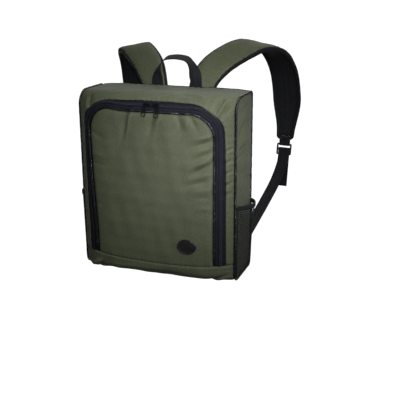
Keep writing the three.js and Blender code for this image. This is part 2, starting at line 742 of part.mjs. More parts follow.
function buckle() {
  const foot = 2.5 * BUCKLE_BAR + 2 * BUCKLE_SLOT;
  const outline = roundedRectangle(BUCKLE_WIDTH / 2, -BUCKLE_BAR / 2, foot, BUCKLE_CORNER);
  for (const bar of [0, 1]) {
    const low = BUCKLE_BAR / 2 + bar * barPitch;
    const slot = roundedRectangle(WEBBING_WIDTH / 2 + 1, low, low + BUCKLE_SLOT, 1);
    outline.holes.push(slot);
  }
  const frame = new THREE.ExtrudeGeometry(outline, {
    depth: BUCKLE_THICKNESS,
    bevelEnabled: false,
    curveSegments: 3,
  });
  frame.translate(0, 0, -BUCKLE_THICKNESS / 2);
  return frame;
}

// Half the way round a buckle's bar, from behind it to before it, or back.
const barTurnY = BUCKLE_BAR / 2 + WEBBING_CLEARANCE + WEBBING / 2;
const barTurnZ = BUCKLE_THICKNESS / 2 + WEBBING_CLEARANCE + WEBBING / 2;

function aroundBar(frame, barY, side) {
  const turn = [
    { out: 0.62, lift: -1 },
    { out: 1, lift: -0.5 },
    { out: 1, lift: 0.5 },
    { out: 0.62, lift: 1 },
  ];
  return turn.map((p) => at(frame, 0, barY + side * barTurnY * p.out, barTurnZ * p.lift));
}

function ribbon(points, guide, width, thickness) {
  const frames = framesAlong(points, guide);
  return sheet(1, points.length - 1, (across, along, through) => {
    const frame = frames[Math.round(along * (points.length - 1))];
    return at(frame, (across - 0.5) * width, 0, (through - 0.5) * thickness);
  });
}

// The folded tab that ties the buckle's upper bar to the padded strap.
function buckleTab(frame) {
  const rise = -BUCKLE_BELOW_PAD + GAP;
  const points = [
    at(frame, 0, rise, -barTurnZ),
    at(frame, 0, rise / 2, -barTurnZ),
    ...aroundBar(frame, 0, 1),
    at(frame, 0, rise / 2, barTurnZ),
    at(frame, 0, rise, barTurnZ),
  ];
  return ribbon(points, () => frame.across, WEBBING_WIDTH - 1, WEBBING);
}

// The lower webbing: sewn to the foot of the back panel, up to the buckle, over its middle bar and down.
function lowerWebbing(frame) {
  const foot = new THREE.Vector3(ANCHOR_X, BACK_FACE + GAP + WEBBING / 2, BAG_HEIGHT * ANCHOR_FOOT);
  const arrive = at(frame, 0, 3 * barPitch, -barTurnZ);
  const route = WEBBING_ROUTE.map(
    (p) =>
      new THREE.Vector3(
        mix(foot.x, arrive.x, p.out),
        mix(foot.y, arrive.y, p.forward),
        mix(foot.z, arrive.z, p.up),
      ),
  );
  route.push(arrive, at(frame, 0, 1.9 * barPitch, -barTurnZ));
  const tailStart = 2 * barPitch;
  const tail = [0.3, 0.65, 1].map((part) =>
    at(frame, 0, tailStart + TAIL_LENGTH * part, barTurnZ + TAIL_LIFT * part),
  );
  const points = [
    ...samples(route, WEBBING_ROWS),
    ...aroundBar(frame, barPitch, -1),
    at(frame, 0, tailStart, barTurnZ),
    ...tail,
  ];
  const crown = WEBBING_ROWS;
  return ribbon(points, (i) => (i < crown ? ACROSS : frame.across), WEBBING_WIDTH, WEBBING);
}

// The carrying loop: its ends lie flat on the back panel, and it turns edge on to the wearer at its top.
function carryingLoop() {
  const y = BACK_FACE + GAP + LOOP_THICKNESS / 2;
  const point = (side) => (p) =>
    new THREE.Vector3(side * LOOP_ROOT_X * p.out, y, BAG_HEIGHT + LOOP_RISE * p.rise);
  const foot = (side) => new THREE.Vector3(side * LOOP_ROOT_X, y, BAG_HEIGHT - LOOP_FOOT);
  const points = samples(
    [foot(-1), ...LOOP_ROUTE.map(point(-1)), ...LOOP_ROUTE.map(point(1)).reverse(), foot(1)],
    LOOP_STEPS,
  );
  const twist = (i) => {
    const up = share(points[i].z, BAG_HEIGHT + 2 * TOP_SWELL, BAG_HEIGHT + LOOP_RISE);
    const turn = THREE.MathUtils.smoothstep(up, 0, LOOP_TURNED) * QUARTER;
    const side = points[i].x < 0 ? 1 : -1;
    return new THREE.Vector3(side * Math.cos(turn), -Math.sin(turn), 0);
  };
  return ribbon(points, twist, LOOP_WIDTH, LOOP_THICKNESS);
}

const bag = new THREE.Group();
const leftSide = new THREE.Group();
leftSide.scale.x = -1;
bag.add(leftSide);

function add(parent, name, geometry, material) {
  const mesh = new THREE.Mesh(geometry, material);
  mesh.name = name;
  parent.add(mesh);
  return mesh;
}

// Turns a group so that its own axes lie along a frame's across, along and normal directions.
function seat(group, frame) {
  const basis = new THREE.Matrix4().makeBasis(frame.across, frame.along, frame.normal);
  group.quaternion.setFromRotationMatrix(basis);
  group.position.copy(frame.origin);
  return group;
}

// Body panels
const borderStart = (along) => bandOutline(along, BAND_WIDTH + GAP / 2);
add(bag, "front_border", bandStrip(borderEdge, borderStart, BORDER_COLUMNS, 0, CLOTH), OLIVE);
add(bag, "opening_panel", openingPanel(), OLIVE);
add(bag, "top_panel", crossPanel(TOP_ROWS, topSeam, TOP_END), OLIVE);
add(bag, "base_panel", crossPanel(BASE_ROWS, BASE_END, SEAM_HEIGHT), OLIVE);
add(bag, "back_panel", backPanel(), BLACK_CLOTH);
add(bag, "patch", patch(), BLACK_LEATHER);

// Zip band, from the opening panel's edge outwards
const pipingMiddle = GAP + PANEL_PIPING_RADIUS;
const innerTape = { from: 2 * pipingMiddle, to: COIL_OFFSET - COIL_WIDTH / 2 - GAP };
const outerTape = { from: COIL_OFFSET + COIL_WIDTH / 2 + GAP, to: BAND_WIDTH - GAP / 2 };
const coilLift = COIL_THICKNESS / 2 - TAPE_SET_BACK - TAPE_THICKNESS;
const pipingBase = SEAM_HEIGHT + PANEL_PIPING_STOP;
const pipingFrames = bandFrames(pipingMiddle, PANEL_PIPING_LIFT, pipingBase);
function tapeStrip({ from, to }) {
  const outer = (along) => bandOutline(along, to);
  const inner = (along) => bandOutline(along, from);
  return bandStrip(outer, inner, 1, -TAPE_SET_BACK, TAPE_THICKNESS);
}
const coilFrames = bandFrames(COIL_OFFSET, coilLift);
const pipingTube = tube(pipingFrames, TUBE_SIDES, PANEL_PIPING_RADIUS, PANEL_PIPING_RADIUS);
add(bag, "panel_piping", pipingTube, BLACK_GLOSS);
add(bag, "zip_tape_inner", tapeStrip(innerTape), BLACK_CLOTH);
add(bag, "zip_tape_outer", tapeStrip(outerTape), BLACK_CLOTH);
add(bag, "zip_coil", tube(coilFrames, TUBE_SIDES, COIL_WIDTH / 2, COIL_THICKNESS / 2), BLACK_CLOTH);

// Sliders meet near the middle of the top, and each pull hangs from the outer leg of its slider's arch
const coilHeight = mix(panelTop, panelTop + BAND_WIDTH, COIL_OFFSET / BAND_WIDTH);
const coilTop = coilLift + COIL_THICKNESS / 2;
const archLegX = ARCH_LENGTH / 2 - ARCH_LEG / 2;
for (const [side, name] of [[-1, "left"], [1, "right"]]) {
  const x = SLIDER_MIDDLE_X + (side * SLIDER_SPACING) / 2;
  const normal = bagNormal(x, coilHeight);
  const across = new THREE.Vector3(1, 0, 0).addScaledVector(normal, -normal.x).normalize();
  const along = normal.clone().cross(across);
  const frame = { origin: onBag(x, coilHeight, coilTop), across, along, normal };
  const slider = seat(new THREE.Group(), frame);
  bag.add(slider);
  add(slider, "zip_slider_" + name, zipSlider(), BLACK_METAL);
  const hinge = new THREE.Group();
  hinge.position.set(side * archLegX, 0, plateTop + PULL_AXIS_HEIGHT);
  hinge.rotation.x = THREE.MathUtils.degToRad(PULL_REST_TILT);
  slider.add(hinge);
  add(hinge, "zip_pull_" + name, zipPull(), BLACK_METAL);
}

// Sides, straps and webbing
const rises = { right: RIGHT_STRAP_RISE, left: LEFT_STRAP_RISE };
const crowns = [];
for (const [name, parent] of [["right", bag], ["left", leftSide]]) {
  add(parent, "side_panel_" + name, sidePanel(), OLIVE);
  add(parent, "side_piping_" + name, sidePiping(), BLACK_GLOSS);
  add(parent, "pocket_net_" + name, pocketNet(), BLACK_NET);
  add(parent, "pocket_elastic_" + name, pocketElastic(), BLACK_CLOTH);

  const frames = strapFrames(rises[name]);
  const padTop = STRAP_PAD / 2;
  const faceLow = padTop + GAP;
  const faceHigh = padTop + GAP + STRAP_FACE;
  const edgeTop = padTop - STRAP_CROWN;
  const edgeFace = edgeTop + GAP;
  const face = strapLayer(frames, faceLow, faceHigh, edgeFace, edgeFace + STRAP_FACE);
  add(parent, "strap_face_" + name, face, OLIVE);
  const pad = strapLayer(frames, -padTop, padTop, -edgeTop, edgeTop);
  add(parent, "strap_pad_" + name, pad, BLACK_CLOTH);
  add(parent, "strap_binding_" + name, strapBinding(frames), BLACK_CLOTH);
  const last = buckleFrame(frames);
  add(parent, "buckle_tab_" + name, buckleTab(last), BLACK_CLOTH);
  add(parent, "lower_webbing_" + name, lowerWebbing(last), BLACK_CLOTH);
  const holder = seat(new THREE.Group(), last);
  parent.add(holder);
  add(holder, "buckle_" + name, buckle(), BLACK_GLOSS);

  const crown = frames.reduce((best, f) => (f.origin.z > best.origin.z ? f : best));
  crowns.push(at(crown, 0, 0, -padTop));
}
add(bag, "carrying_loop", carryingLoop(), BLACK_CLOTH);

// The origin moves to the point midway between the undersides of the two straps at their highest.
const shoulderY = (crowns[0].y + crowns[1].y) / 2;
const shoulderZ = (crowns[0].z + crowns[1].z) / 2;
bag.position.set(0, -shoulderY, -shoulderZ);

const backpack = new THREE.Group();
backpack.add(bag);
export default backpack;
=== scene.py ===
# A soft laptop backpack in olive cloth with black trim, dressed over its fixed frame.
# Shapes are worked out in millimetres in the bag's own frame, whose z = 0 is the base and y = 0 the
# seam plane of the back, and become metres in the frame's place as they turn into meshes. -Y is the
# bag's front, +Y its back panel, and +X lies on the right of someone who looks at the front.
import json
import math
from collections import namedtuple

import bpy
import numpy as np
from mathutils import Matrix, Vector

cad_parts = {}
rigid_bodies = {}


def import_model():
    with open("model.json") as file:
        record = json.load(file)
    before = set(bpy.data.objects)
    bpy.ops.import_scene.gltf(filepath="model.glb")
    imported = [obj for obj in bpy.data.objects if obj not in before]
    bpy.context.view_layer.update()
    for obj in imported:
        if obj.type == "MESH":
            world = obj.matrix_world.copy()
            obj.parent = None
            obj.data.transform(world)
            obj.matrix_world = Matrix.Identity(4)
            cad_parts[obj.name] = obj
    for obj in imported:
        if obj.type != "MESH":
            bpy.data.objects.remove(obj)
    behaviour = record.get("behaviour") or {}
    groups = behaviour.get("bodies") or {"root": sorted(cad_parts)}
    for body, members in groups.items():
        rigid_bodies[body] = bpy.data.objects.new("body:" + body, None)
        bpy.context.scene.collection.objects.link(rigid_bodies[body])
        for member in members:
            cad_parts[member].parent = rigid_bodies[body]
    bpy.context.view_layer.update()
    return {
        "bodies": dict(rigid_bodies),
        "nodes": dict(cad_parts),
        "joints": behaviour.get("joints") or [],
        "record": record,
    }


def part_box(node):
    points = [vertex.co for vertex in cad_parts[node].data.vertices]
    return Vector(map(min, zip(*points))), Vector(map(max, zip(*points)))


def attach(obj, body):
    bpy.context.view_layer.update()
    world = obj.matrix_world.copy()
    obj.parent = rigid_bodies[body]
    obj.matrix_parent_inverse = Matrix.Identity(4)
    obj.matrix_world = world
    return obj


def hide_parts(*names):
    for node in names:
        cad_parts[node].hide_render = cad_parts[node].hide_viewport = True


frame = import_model()

MM = 0.001
QUARTER = math.pi / 2
BODY = "bag"
CLOTH_MAP = "cloth"  # UV map in millimetres along the weave

# Bag body
BAG_WIDTH = 330
BAG_HEIGHT = 371
SIDE_DEPTH = 105
FRONT_SWELL = 36
TOP_SWELL = 4
BASE_LIFT = 3
MIDDLE_BASE = 10
ROLL_POWER = 6
SIDE_TOP_RADIUS = 30
SIDE_BASE_RADIUS = 16
SIDE_BACK_RADIUS = 9
MIDDLE_TOP_RADIUS = 46
MIDDLE_BASE_RADIUS = 16
SEAM_HEIGHT = 41
CLOTH = 1.3
BACK_PAD = 8
GAP = 0.4
HALF_WIDTH = BAG_WIDTH / 2
BACK_FACE = GAP / 2 + BACK_PAD

# Opening panel, zip band and patch
PANEL_HALF_WIDTH = 128.5
PANEL_TOP = BAG_HEIGHT - 29
PANEL_CORNER = 45
BAND_WIDTH = 27
BAND_CORNER = 62
TOP_SEAM = PANEL_TOP + BAND_WIDTH + 8
BAND_HALF_WIDTH = 151.6
BAND_BASE = SEAM_HEIGHT + GAP / 2
PANEL_PIPING_RADIUS = 2.1
PANEL_PIPING_LIFT = 0.6
PANEL_PIPING_STOP = 12
COIL_OFFSET = 15.4
COIL_PITCH = 1.7
PATCH_X = 76
PATCH_Z = 80
PATCH_WIDTH = 40
PATCH_HEIGHT = 30

# Side piping and side pockets
PIPING_RADIUS = 2.25
POCKET_MOUTH_FRONT = 161
POCKET_MOUTH_BACK = 150
POCKET_BULGE = 20
POCKET_BASE_RISE = 26
POCKET_FOOT = 0.35
POCKET_ROUNDNESS = 0.7
POCKET_SAG = 0.5
POCKET_SAG_UP = 13
POCKET_SAG_ALONG = 21
ELASTIC_HEIGHT = 9
NET_CELL = 5.0
NET_STRAND = 1.4
NET_HEIGHT = 0.5
POCKET_FRONT = -SIDE_DEPTH + PIPING_RADIUS + GAP
POCKET_BACK = -PIPING_RADIUS - GAP
SIDE_STAND = 0.8
POCKET_SEAT = HALF_WIDTH + SIDE_STAND + GAP

# Shoulder straps, webbing and carrying loop
STRAP_WIDTH = 62
STRAP_FACE = 1.8
STRAP_PAD = 9
STRAP_CROWN = 3
BINDING_WIDTH = 6
BINDING_HEIGHT = 10
STRAP_ROOT_X = 52
CHEST_X = 186
CHEST_DEPTH = 198
STRAP_TILT = 0.2
STRAP_RISE = {"right": 77, "left": 65}
WEBBING_WIDTH = 25
WEBBING = 1.5
BUCKLE_BAR = 3.2
BUCKLE_SLOT = 8.4
BUCKLE_THICKNESS = 3.2
BUCKLE_BELOW_PAD = 12
WEBBING_CLEARANCE = 0.6
TAIL_LENGTH = 75
TAIL_LIFT = 2
ANCHOR_X = 141
ANCHOR_FOOT = 0.05
LOOP_ROOT_X = 43
LOOP_RISE = 60
LOOP_FOOT = 16
LOOP_WIDTH = 25
LOOP_THICKNESS = 2
LOOP_TURNED = 0.9
LOOP_TILT = 0.3
STRAP_ROWS = 150
LOOP_ROWS = 110
WEBBING_ROWS = 16

StrapPoint = namedtuple("StrapPoint", "out forward rise drop")
STRAP_ROUTE = [
    StrapPoint(0.0, 0.0, 0.0, 0.07),
    StrapPoint(0.0, 0.0, 0.0, 0.01),
    StrapPoint(0.07, 0.05, 0.3, 0.0),
    StrapPoint(0.24, 0.18, 0.66, 0.0),
    StrapPoint(0.61, 0.44, 1.0, 0.0),
    StrapPoint(0.85, 0.67, 0.83, 0.0),
    StrapPoint(0.96, 0.87, 0.28, 0.0),
    StrapPoint(1.0, 0.97, 0.0, 0.1),
    StrapPoint(1.0, 1.0, 0.0, 0.25),
    StrapPoint(0.99, 0.98, 0.0, 0.36),
]
Taper = namedtuple("Taper", "along width")
STRAP_TAPER = [Taper(0.0, 0.84), Taper(0.2, 1.0), Taper(0.8, 1.0), Taper(1.0, 0.62)]
WebbingPoint = namedtuple("WebbingPoint", "out forward up")
WEBBING_ROUTE = [
    WebbingPoint(0.0, 0.0, 0.0),
    WebbingPoint(0.02, 0.0, 0.05),
    WebbingPoint(0.1, 0.03, 0.17),
    WebbingPoint(0.32, 0.25, 0.34),
    WebbingPoint(0.6, 0.55, 0.55),
    WebbingPoint(0.87, 0.83, 0.78),
]
LoopPoint = namedtuple("LoopPoint", "out rise")
LOOP_ROUTE = [
    LoopPoint(1.0, 0.0),
    LoopPoint(0.98, 0.3),
    LoopPoint(0.86, 0.66),
    LoopPoint(0.58, 0.93),
    LoopPoint(0.2, 1.0),
]

# The main folds, as shares: of the half width, of the height along the cloth, and of the front's swell.
Fold = namedtuple("Fold", "across up lean length width lift")
MAIN_FOLDS = [
    Fold(-0.34, 0.83, 14, 0.3, 0.11, -0.09),
    Fold(-0.23, 0.86, 14, 0.22, 0.1, 0.07),
    Fold(0.04, 0.85, 14, 0.26, 0.1, -0.07),
    Fold(0.4, 0.87, -8, 0.24, 0.12, -0.05),
    Fold(0.68, 0.76, 76, 0.22, 0.12, -0.08),
    Fold(0.66, 0.62, 66, 0.28, 0.12, -0.09),
    Fold(0.88, 0.95, 28, 0.2, 0.09, -0.08),
    Fold(-0.82, 0.97, -8, 0.2, 0.1, -0.07),
    Fold(0.1, 1.24, 88, 1.0, 0.2, -0.08),
    Fold(-0.84, 0.03, 80, 0.14, 0.16, 0.12),
    Fold(0.82, 0.04, 40, 0.2, 0.1, -0.08),
]
CREASE_LIFT = 3.0
SIDE_CREASE_LIFT = 6.0

# Finer creases of the front, top and base, in millimetres: middle, lean from upright, size and lift.
Crease = namedtuple("Crease", "x height lean length width lift")
CREASES = [
    Crease(-41, 322, 14, 26, 4.0, 1.1),
    Crease(-51, 312, 14, 24, 6.0, -1.0),
    Crease(5, 318, 16, 22, 5.0, -0.9),
    Crease(16, 320, 16, 20, 5.0, 0.6),
    Crease(63, 327, -8, 15, 5.0, -0.8),
    Crease(77, 326, -12, 14, 5.0, 0.5),
    Crease(91, 329, -24, 15, 5.0, -0.8),
    Crease(116, 299, 74, 15, 3.6, 0.9),
    Crease(112, 288, 72, 18, 4.0, -0.9),
    Crease(115, 276, 69, 18, 3.8, 0.8),
    Crease(112, 265, 66, 20, 4.2, -0.9),
    Crease(111, 251, 62, 21, 4.2, 1.0),
    Crease(108, 239, 62, 23, 4.6, -1.0),
    Crease(109, 224, 74, 22, 4.6, 0.8),
    Crease(104, 211, 75, 25, 5.0, -0.9),
    Crease(112, 196, 82, 18, 4.6, 0.5),
    Crease(112, 183, 86, 18, 4.6, -0.5),
    Crease(115, 160, 88, 15, 4.4, 0.4),
    Crease(-114, 291, -70, 15, 4.6, -0.6),
    Crease(-112, 250, -84, 16, 5.0, 0.45),
    Crease(-113, 232, -86, 16, 5.0, -0.5),
    Crease(-116, 150, -88, 14, 5.0, -0.4),
    Crease(152, 357, 26, 22, 3.4, -2.2),
    Crease(144, 362, 20, 20, 3.4, 1.3),
    Crease(136, 366, 8, 17, 3.4, -1.7),
    Crease(124, 374, -14, 13, 4.0, 0.6),
    Crease(-131, 354, -8, 20, 4.0, -1.0),
    Crease(-141, 352, -12, 18, 4.0, 0.6),
    Crease(-152, 340, 14, 22, 4.2, -0.8),
    Crease(-70, 384, 60, 22, 6.0, -0.7),
    Crease(-52, 392, 64, 26, 6.0, 0.7),
    Crease(20, 390, 66, 26, 6.5, -0.6),
    Crease(70, 388, -62, 24, 6.0, -0.6),
    Crease(98, 386, -52, 20, 5.0, 0.6),
    Crease(156, 270, 68, 10, 3.0, -1.3),
    Crease(156, 249, 68, 10, 3.0, -1.3),
    Crease(156, 228, 72, 10, 3.0, -1.3),
    Crease(156, 206, 76, 10, 3.0, -1.3),
    Crease(156, 187, 76, 10, 3.0, -1.1),
    Crease(-157, 300, -70, 10, 3.0, -1.1),
    Crease(-157, 262, -70, 10, 3.0, -1.1),
    Crease(-157, 214, -76, 10, 3.0, -1.1),
    Crease(-132, 20, 66, 15, 4.0, 1.2),
    Crease(-118, 14, 50, 14, 4.0, -1.3),
    Crease(146, 20, 56, 24, 4.0, -1.2),
    Crease(138, 10, 52, 20, 4.0, 0.8),
    Crease(20, 16, 84, 60, 6.0, -0.5),
    Crease(-60, 22, 86, 40, 5.0, 0.4),
]
# Creases of the gussets: how far back from the front seam, and how high.
SIDE_CREASES = [
    Crease(30, 270, 80, 30, 4.0, -3.4),
    Crease(24, 256, 82, 26, 4.0, -3.0),
    Crease(34, 303, 58, 34, 9.0, -4.6),
    Crease(22, 222, 84, 24, 4.0, -2.8),
    Crease(46, 342, 72, 30, 6.0, -3.0),
    Crease(54, 284, 70, 38, 8.0, 2.4),
    Crease(58, 238, 82, 40, 8.0, 2.0),
    Crease(64, 202, -84, 34, 6.0, -2.6),
]

# How the worn cloth slips, and its faint ripples.
LEG_LEAN = 9
LEAN_X = 126
LEAN_REACH = 30
LEAN_TOP = 280
LEAN_FOOT = 8
LEAN_EDGE = (3, 24)
SEAM_SAG = 4.5
LEFT_RISE = 8
RIGHT_RISE = 5
SAG_REACH = 26
CornerSlip = namedtuple("CornerSlip", "x height reach shift rise")
CORNER_SLIPS = [
    CornerSlip(-100, 340, 27, 2.0, 4.5),
    CornerSlip(128, 340, 24, -1.0, -1.5),
]
RIPPLE_SEED = 11
RIPPLE_COUNT = 14
RIPPLE_LIFT = 0.14
RIPPLE_LENGTHS = (26, 70)

# How cloth sinks into its seams, and gathers beside them.
Tuck = namedtuple("Tuck", "depth reach")
TUCKS = {
    "zip": Tuck(1.5, 3.5),
    "panel foot": Tuck(1.1, 2.5),
    "hem": Tuck(0.5, 2.0),
    "border foot": Tuck(1.0, 2.5),
    "piping": Tuck(0.9, 2.5),
    "back": Tuck(1.5, 3),
    "base": Tuck(1.1, 2.0),
    "gusset": Tuck(1.2, 2.5),
    "strap": Tuck(0.6, 2.5),
}
Gather = namedtuple("Gather", "lift pitch reach")
GATHERS = {
    "zip side": Gather(0.12, 13, 9),
    "zip top": Gather(0.2, 12, 8),
    "panel foot": Gather(0.22, 8, 7),
    "hem": Gather(0.3, 12, 8),
    "piping": Gather(0.3, 11, 6),
    "back": Gather(0.4, 13, 12),
    "base": Gather(0.25, 8, 9),
    "base piping": Gather(0.35, 9, 7),
    "gusset front": Gather(0.35, 11, 6),
    "gusset back": Gather(0.35, 12, 6),
    "strap": Gather(0.5, 15, 8),
}
GATHER_LIFT = 1.5
GATHER_DRIFTS = [(1.7, 19), (0.9, 7.3)]


# Meshes


def node_low(node, axis):
    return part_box(node)[0][axis] / MM


# The bag's own frame in the frame's place.
BAG_SHIFT = np.array(
    [
        0.0,
        node_low("back_panel", 1) - GAP / 2,
        node_low("side_piping_right", 2) - BASE_LIFT + PIPING_RADIUS,
    ]
)


def to_row(points):
    return (np.asarray(points, dtype=float) + BAG_SHIFT) * MM


def mix(low, high, part):
    return low + (high - low) * part


def share(value, low, high):
    return np.clip((value - low) / (high - low), 0, 1)


def smoothstep(value, low, high):
    part = share(value, low, high)
    return part * part * (3 - 2 * part)


def bell(distance, reach):
    """One at no distance, dying out smoothly at about twice the reach."""
    return np.exp(-((distance / reach) ** 2))


def pairs_of(first, second):
    return np.stack(np.broadcast_arrays(first, second), -1)


def side_sign(side):
    return 1.0 if side == "right" else -1.0


def unit(vectors):
    return vectors / np.maximum(np.linalg.norm(vectors, axis=-1, keepdims=True), 1e-9)


def new_piece(name, points, faces, face_uvs, material):
    """An object from points in millimetres, lists of faces of equal size, and each face's UVs, with the
    material."""
    mesh = bpy.data.meshes.new(name)
    mesh.vertices.add(len(points))
    mesh.vertices.foreach_set("co", to_row(points).astype(np.float32).ravel())
    corners = np.concatenate([np.asarray(group).ravel() for group in faces])
    sizes = np.concatenate([np.full(len(group), np.shape(group)[1]) for group in faces])
    mesh.loops.add(len(corners))
    mesh.loops.foreach_set("vertex_index", corners.astype(np.int32))
    mesh.polygons.add(len(sizes))
    starts = np.concatenate([[0], np.cumsum(sizes)[:-1]])
    mesh.polygons.foreach_set("loop_start", starts.astype(np.int32))
    mesh.polygons.foreach_set("use_smooth", np.ones(len(sizes), dtype=bool))
    mesh.update(calc_edges=True)
    layer = mesh.uv_layers.new(name=CLOTH_MAP)
    uvs = np.concatenate([np.asarray(group).reshape(-1, 2) for group in face_uvs])
    layer.uv.foreach_set("vector", uvs.astype(np.float32).ravel())
    mesh.validate()
    piece = bpy.data.objects.new(name, mesh)
    bpy.context.scene.collection.objects.link(piece)
    mesh.materials.append(material)
    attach(piece, BODY)
    return piece


def grid_faces(rows, cols, wrap_rows=False, wrap_cols=False, start=0):
    """Quads over a grid of vertices, as vertex numbers and as numbers in its unwrapped UV grid."""
    row = np.arange(rows if wrap_rows else rows - 1)[:, None]
    col = np.arange(cols if wrap_cols else cols - 1)[None, :]
    corners = [(row, col), (row, col + 1), (row + 1, col + 1), (row + 1, col)]
    uv_cols = cols + wrap_cols
    places = [(r % rows) * cols + c % cols + start + 0 * (r + c) for r, c in corners]
    uv_places = [r * uv_cols + c for r, c in corners]
    quads = np.stack([np.broadcast_to(p, (row.size, col.size)) for p in places], -1).reshape(-1, 4)
    uv_quads = np.stack([np.broadcast_to(p, (row.size, col.size)) for p in uv_places], -1).reshape(-1, 4)
    return quads, uv_quads


def thicken(piece, thickness):
    solid = piece.modifiers.new("thickness", "SOLIDIFY")
    solid.thickness = thickness * MM
    solid.offset = -1


def sheet_piece(name, points, uv, material, nodes, thickness=CLOTH):
    """A stretched sheet of cloth over a grid of points, in place of nodes."""
    quads, _ = grid_faces(*points.shape[:2])
    piece = new_piece(name, points.reshape(-1, 3), [quads], [uv.reshape(-1, 2)[quads]], material)
    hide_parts(*nodes)
    thicken(piece, thickness)


# Curves and their frames

Frames = namedtuple("Frames", "origin along across normal")


def tangents(points):
    before = np.concatenate([points[:1], points[:-1]])
    after = np.concatenate([points[1:], points[-1:]])
    return unit(after - before)


def frames_along(points, guide, by_normal=False):
    along = tangents(points)
    lead = np.broadcast_to(guide, points.shape)
    lead = unit(lead - along * np.sum(lead * along, axis=1, keepdims=True))
    across = np.cross(along, lead) if by_normal else lead
    normal = lead if by_normal else np.cross(lead, along)
    return Frames(points, along, across, normal)


def at(frames, across=0.0, along=0.0, normal=0.0, row=None):
    """Points off the frames' origins, or off one frame where a row is given."""
    if row is not None:
        frames = Frames(*(part[row] for part in frames))
    place = frames.origin + frames.across * np.asarray(across)[..., None]
    return place + frames.along * np.asarray(along)[..., None] + frames.normal * np.asarray(normal)[..., None]


def smooth_curve(points, fine=24):
    """Centripetal Catmull-Rom curve through the points, finely sampled."""
    points = np.asarray(points, dtype=float)
    ends = [2 * points[0] - points[1], *points, 2 * points[-1] - points[-2]]
    line = []
    for i in range(len(points) - 1):
        p0, p1, p2, p3 = ends[i : i + 4]
        d0, d1, d2 = (max(np.linalg.norm(b - a) ** 0.5, 1e-4) for a, b in ((p0, p1), (p1, p2), (p2, p3)))
        start = ((p1 - p0) / d0 - (p2 - p0) / (d0 + d1) + (p2 - p1) / d1) * d1
        end = ((p2 - p1) / d1 - (p3 - p1) / (d1 + d2) + (p3 - p2) / d2) * d1
        t = np.linspace(0, 1, fine, endpoint=False)[:, None]
        line.append(
            (2 * t**3 - 3 * t**2 + 1) * p1
            + (t**3 - 2 * t**2 + t) * start
            + (3 * t**2 - 2 * t**3) * p2
            + (t**3 - t**2) * end
        )
    return np.concatenate(line + [points[-1:]])


def lengths_along(line):
    return np.concatenate([[0], np.cumsum(np.linalg.norm(np.diff(line, axis=0), axis=1))])


def between(wanted, covered, values):
    """Rows of values at wanted places, from rows at the places covered."""
    return np.stack([np.interp(wanted, covered, column) for column in values.T], -1)


def resample(line, count):
    """The line at equal distances, count steps long."""
    covered = lengths_along(line)
    return between(np.linspace(0, covered[-1], count + 1), covered, line)


def rounded_ring(sides, power):
    """x and z round a superellipse of half sizes one: a circle at power 2, squarer above it."""
    angle = np.arange(sides) / sides * 2 * math.pi
    cosine, sine = np.cos(angle), np.sin(angle)
    x = np.sign(cosine) * np.abs(cosine) ** (2 / power)
    z = np.sign(sine) * np.abs(sine) ** (2 / power)
    return x, z


def off_frames(frames, wide, high):
    """A row of points off each frame, by distances across it and along its normal."""
    aside = frames.origin[:, None] + frames.across[:, None] * wide[..., None]
    return aside + frames.normal[:, None] * high[..., None]


CAP_SCALE = 5


def tube_piece(name, frames, half_width, half_height, material, sides=12, power=2.0, closed=False):
    """A tube of a rounded section along frames. Half sizes are numbers or one for each frame."""
    rows = len(frames.origin)
    x, z = rounded_ring(sides, power)
    wide = np.broadcast_to(half_width, rows)[:, None] * x
    high = np.broadcast_to(half_height, rows)[:, None] * z
    points = off_frames(frames, wide, high)
    quads, uv_quads = grid_faces(rows, sides, closed, True)
    quads = quads[:, ::-1]
    uv_quads = uv_quads[:, ::-1]
    girth = np.linspace(0, 2 * (np.max(half_width) + np.max(half_height)), sides + 1)
    length = lengths_along(frames.origin)
    if closed:
        length = np.append(length, length[-1] + np.linalg.norm(frames.origin[0] - frames.origin[-1]))
    uv = pairs_of(girth[None, :], length[:, None]).reshape(-1, 2)
    faces, face_uvs = [quads], [uv[uv_quads]]
    if not closed:
        ring = np.arange(sides)
        for cap in (ring[None, ::1], (rows - 1) * sides + ring[None, ::-1]):
            faces.append(cap)
            face_uvs.append(np.stack([x[cap % sides], z[cap % sides]], -1) * CAP_SCALE)
    return new_piece(name, points.reshape(-1, 3), faces, face_uvs, material)


# Sections of a small bar: where each lies along it, and its share of the girth.
BAR_STATIONS = [(-0.5, 0.35), (-0.3, 1.0), (0.3, 1.0), (0.5, 0.35)]


def blocks_piece(name, centres, along, normal, size, material, sides=6):
    """Many small rounded bars: each has a middle, a direction, a normal and the same size."""
    length, width, height = size
    across = np.cross(along, normal)
    ring = np.arange(sides) / sides * 2 * math.pi
    rows = []
    for place, girth in BAR_STATIONS:
        middle = centres + along * (place * length)
        for angle in ring:
            aside = across * (math.cos(angle) * width / 2 * girth)
            above = normal * (math.sin(angle) * height / 2 * girth)
            rows.append(middle + aside + above)
    points = np.stack(rows, 1)
    per_bar = len(rows)
    quads, _ = grid_faces(len(BAR_STATIONS), sides, False, True)
    caps = np.array([np.arange(sides), per_bar - sides + np.arange(sides)[::-1]])
    offsets = (np.arange(len(centres)) * per_bar)[:, None, None]
    all_quads = (quads[None, :, ::-1] + offsets).reshape(-1, 4)
    all_caps = (caps[None] + offsets).reshape(-1, sides)
    flat = points.reshape(-1, 3)
    uvs = [flat[group][..., [0, 2]] for group in (all_quads, all_caps)]
    return new_piece(name, flat, [all_quads, all_caps], uvs, material)


def spaced(line, normals, pitch, start=0.0):
    """Middles, directions and normals at a pitch along a line."""
    covered = lengths_along(line)
    wanted = np.arange(start + pitch / 2, covered[-1] - start, pitch)
    places = (line, tangents(line), np.broadcast_to(normals, line.shape))
    middles, along, normal = (between(wanted, covered, values) for values in places)
    return middles, unit(along), unit(normal)


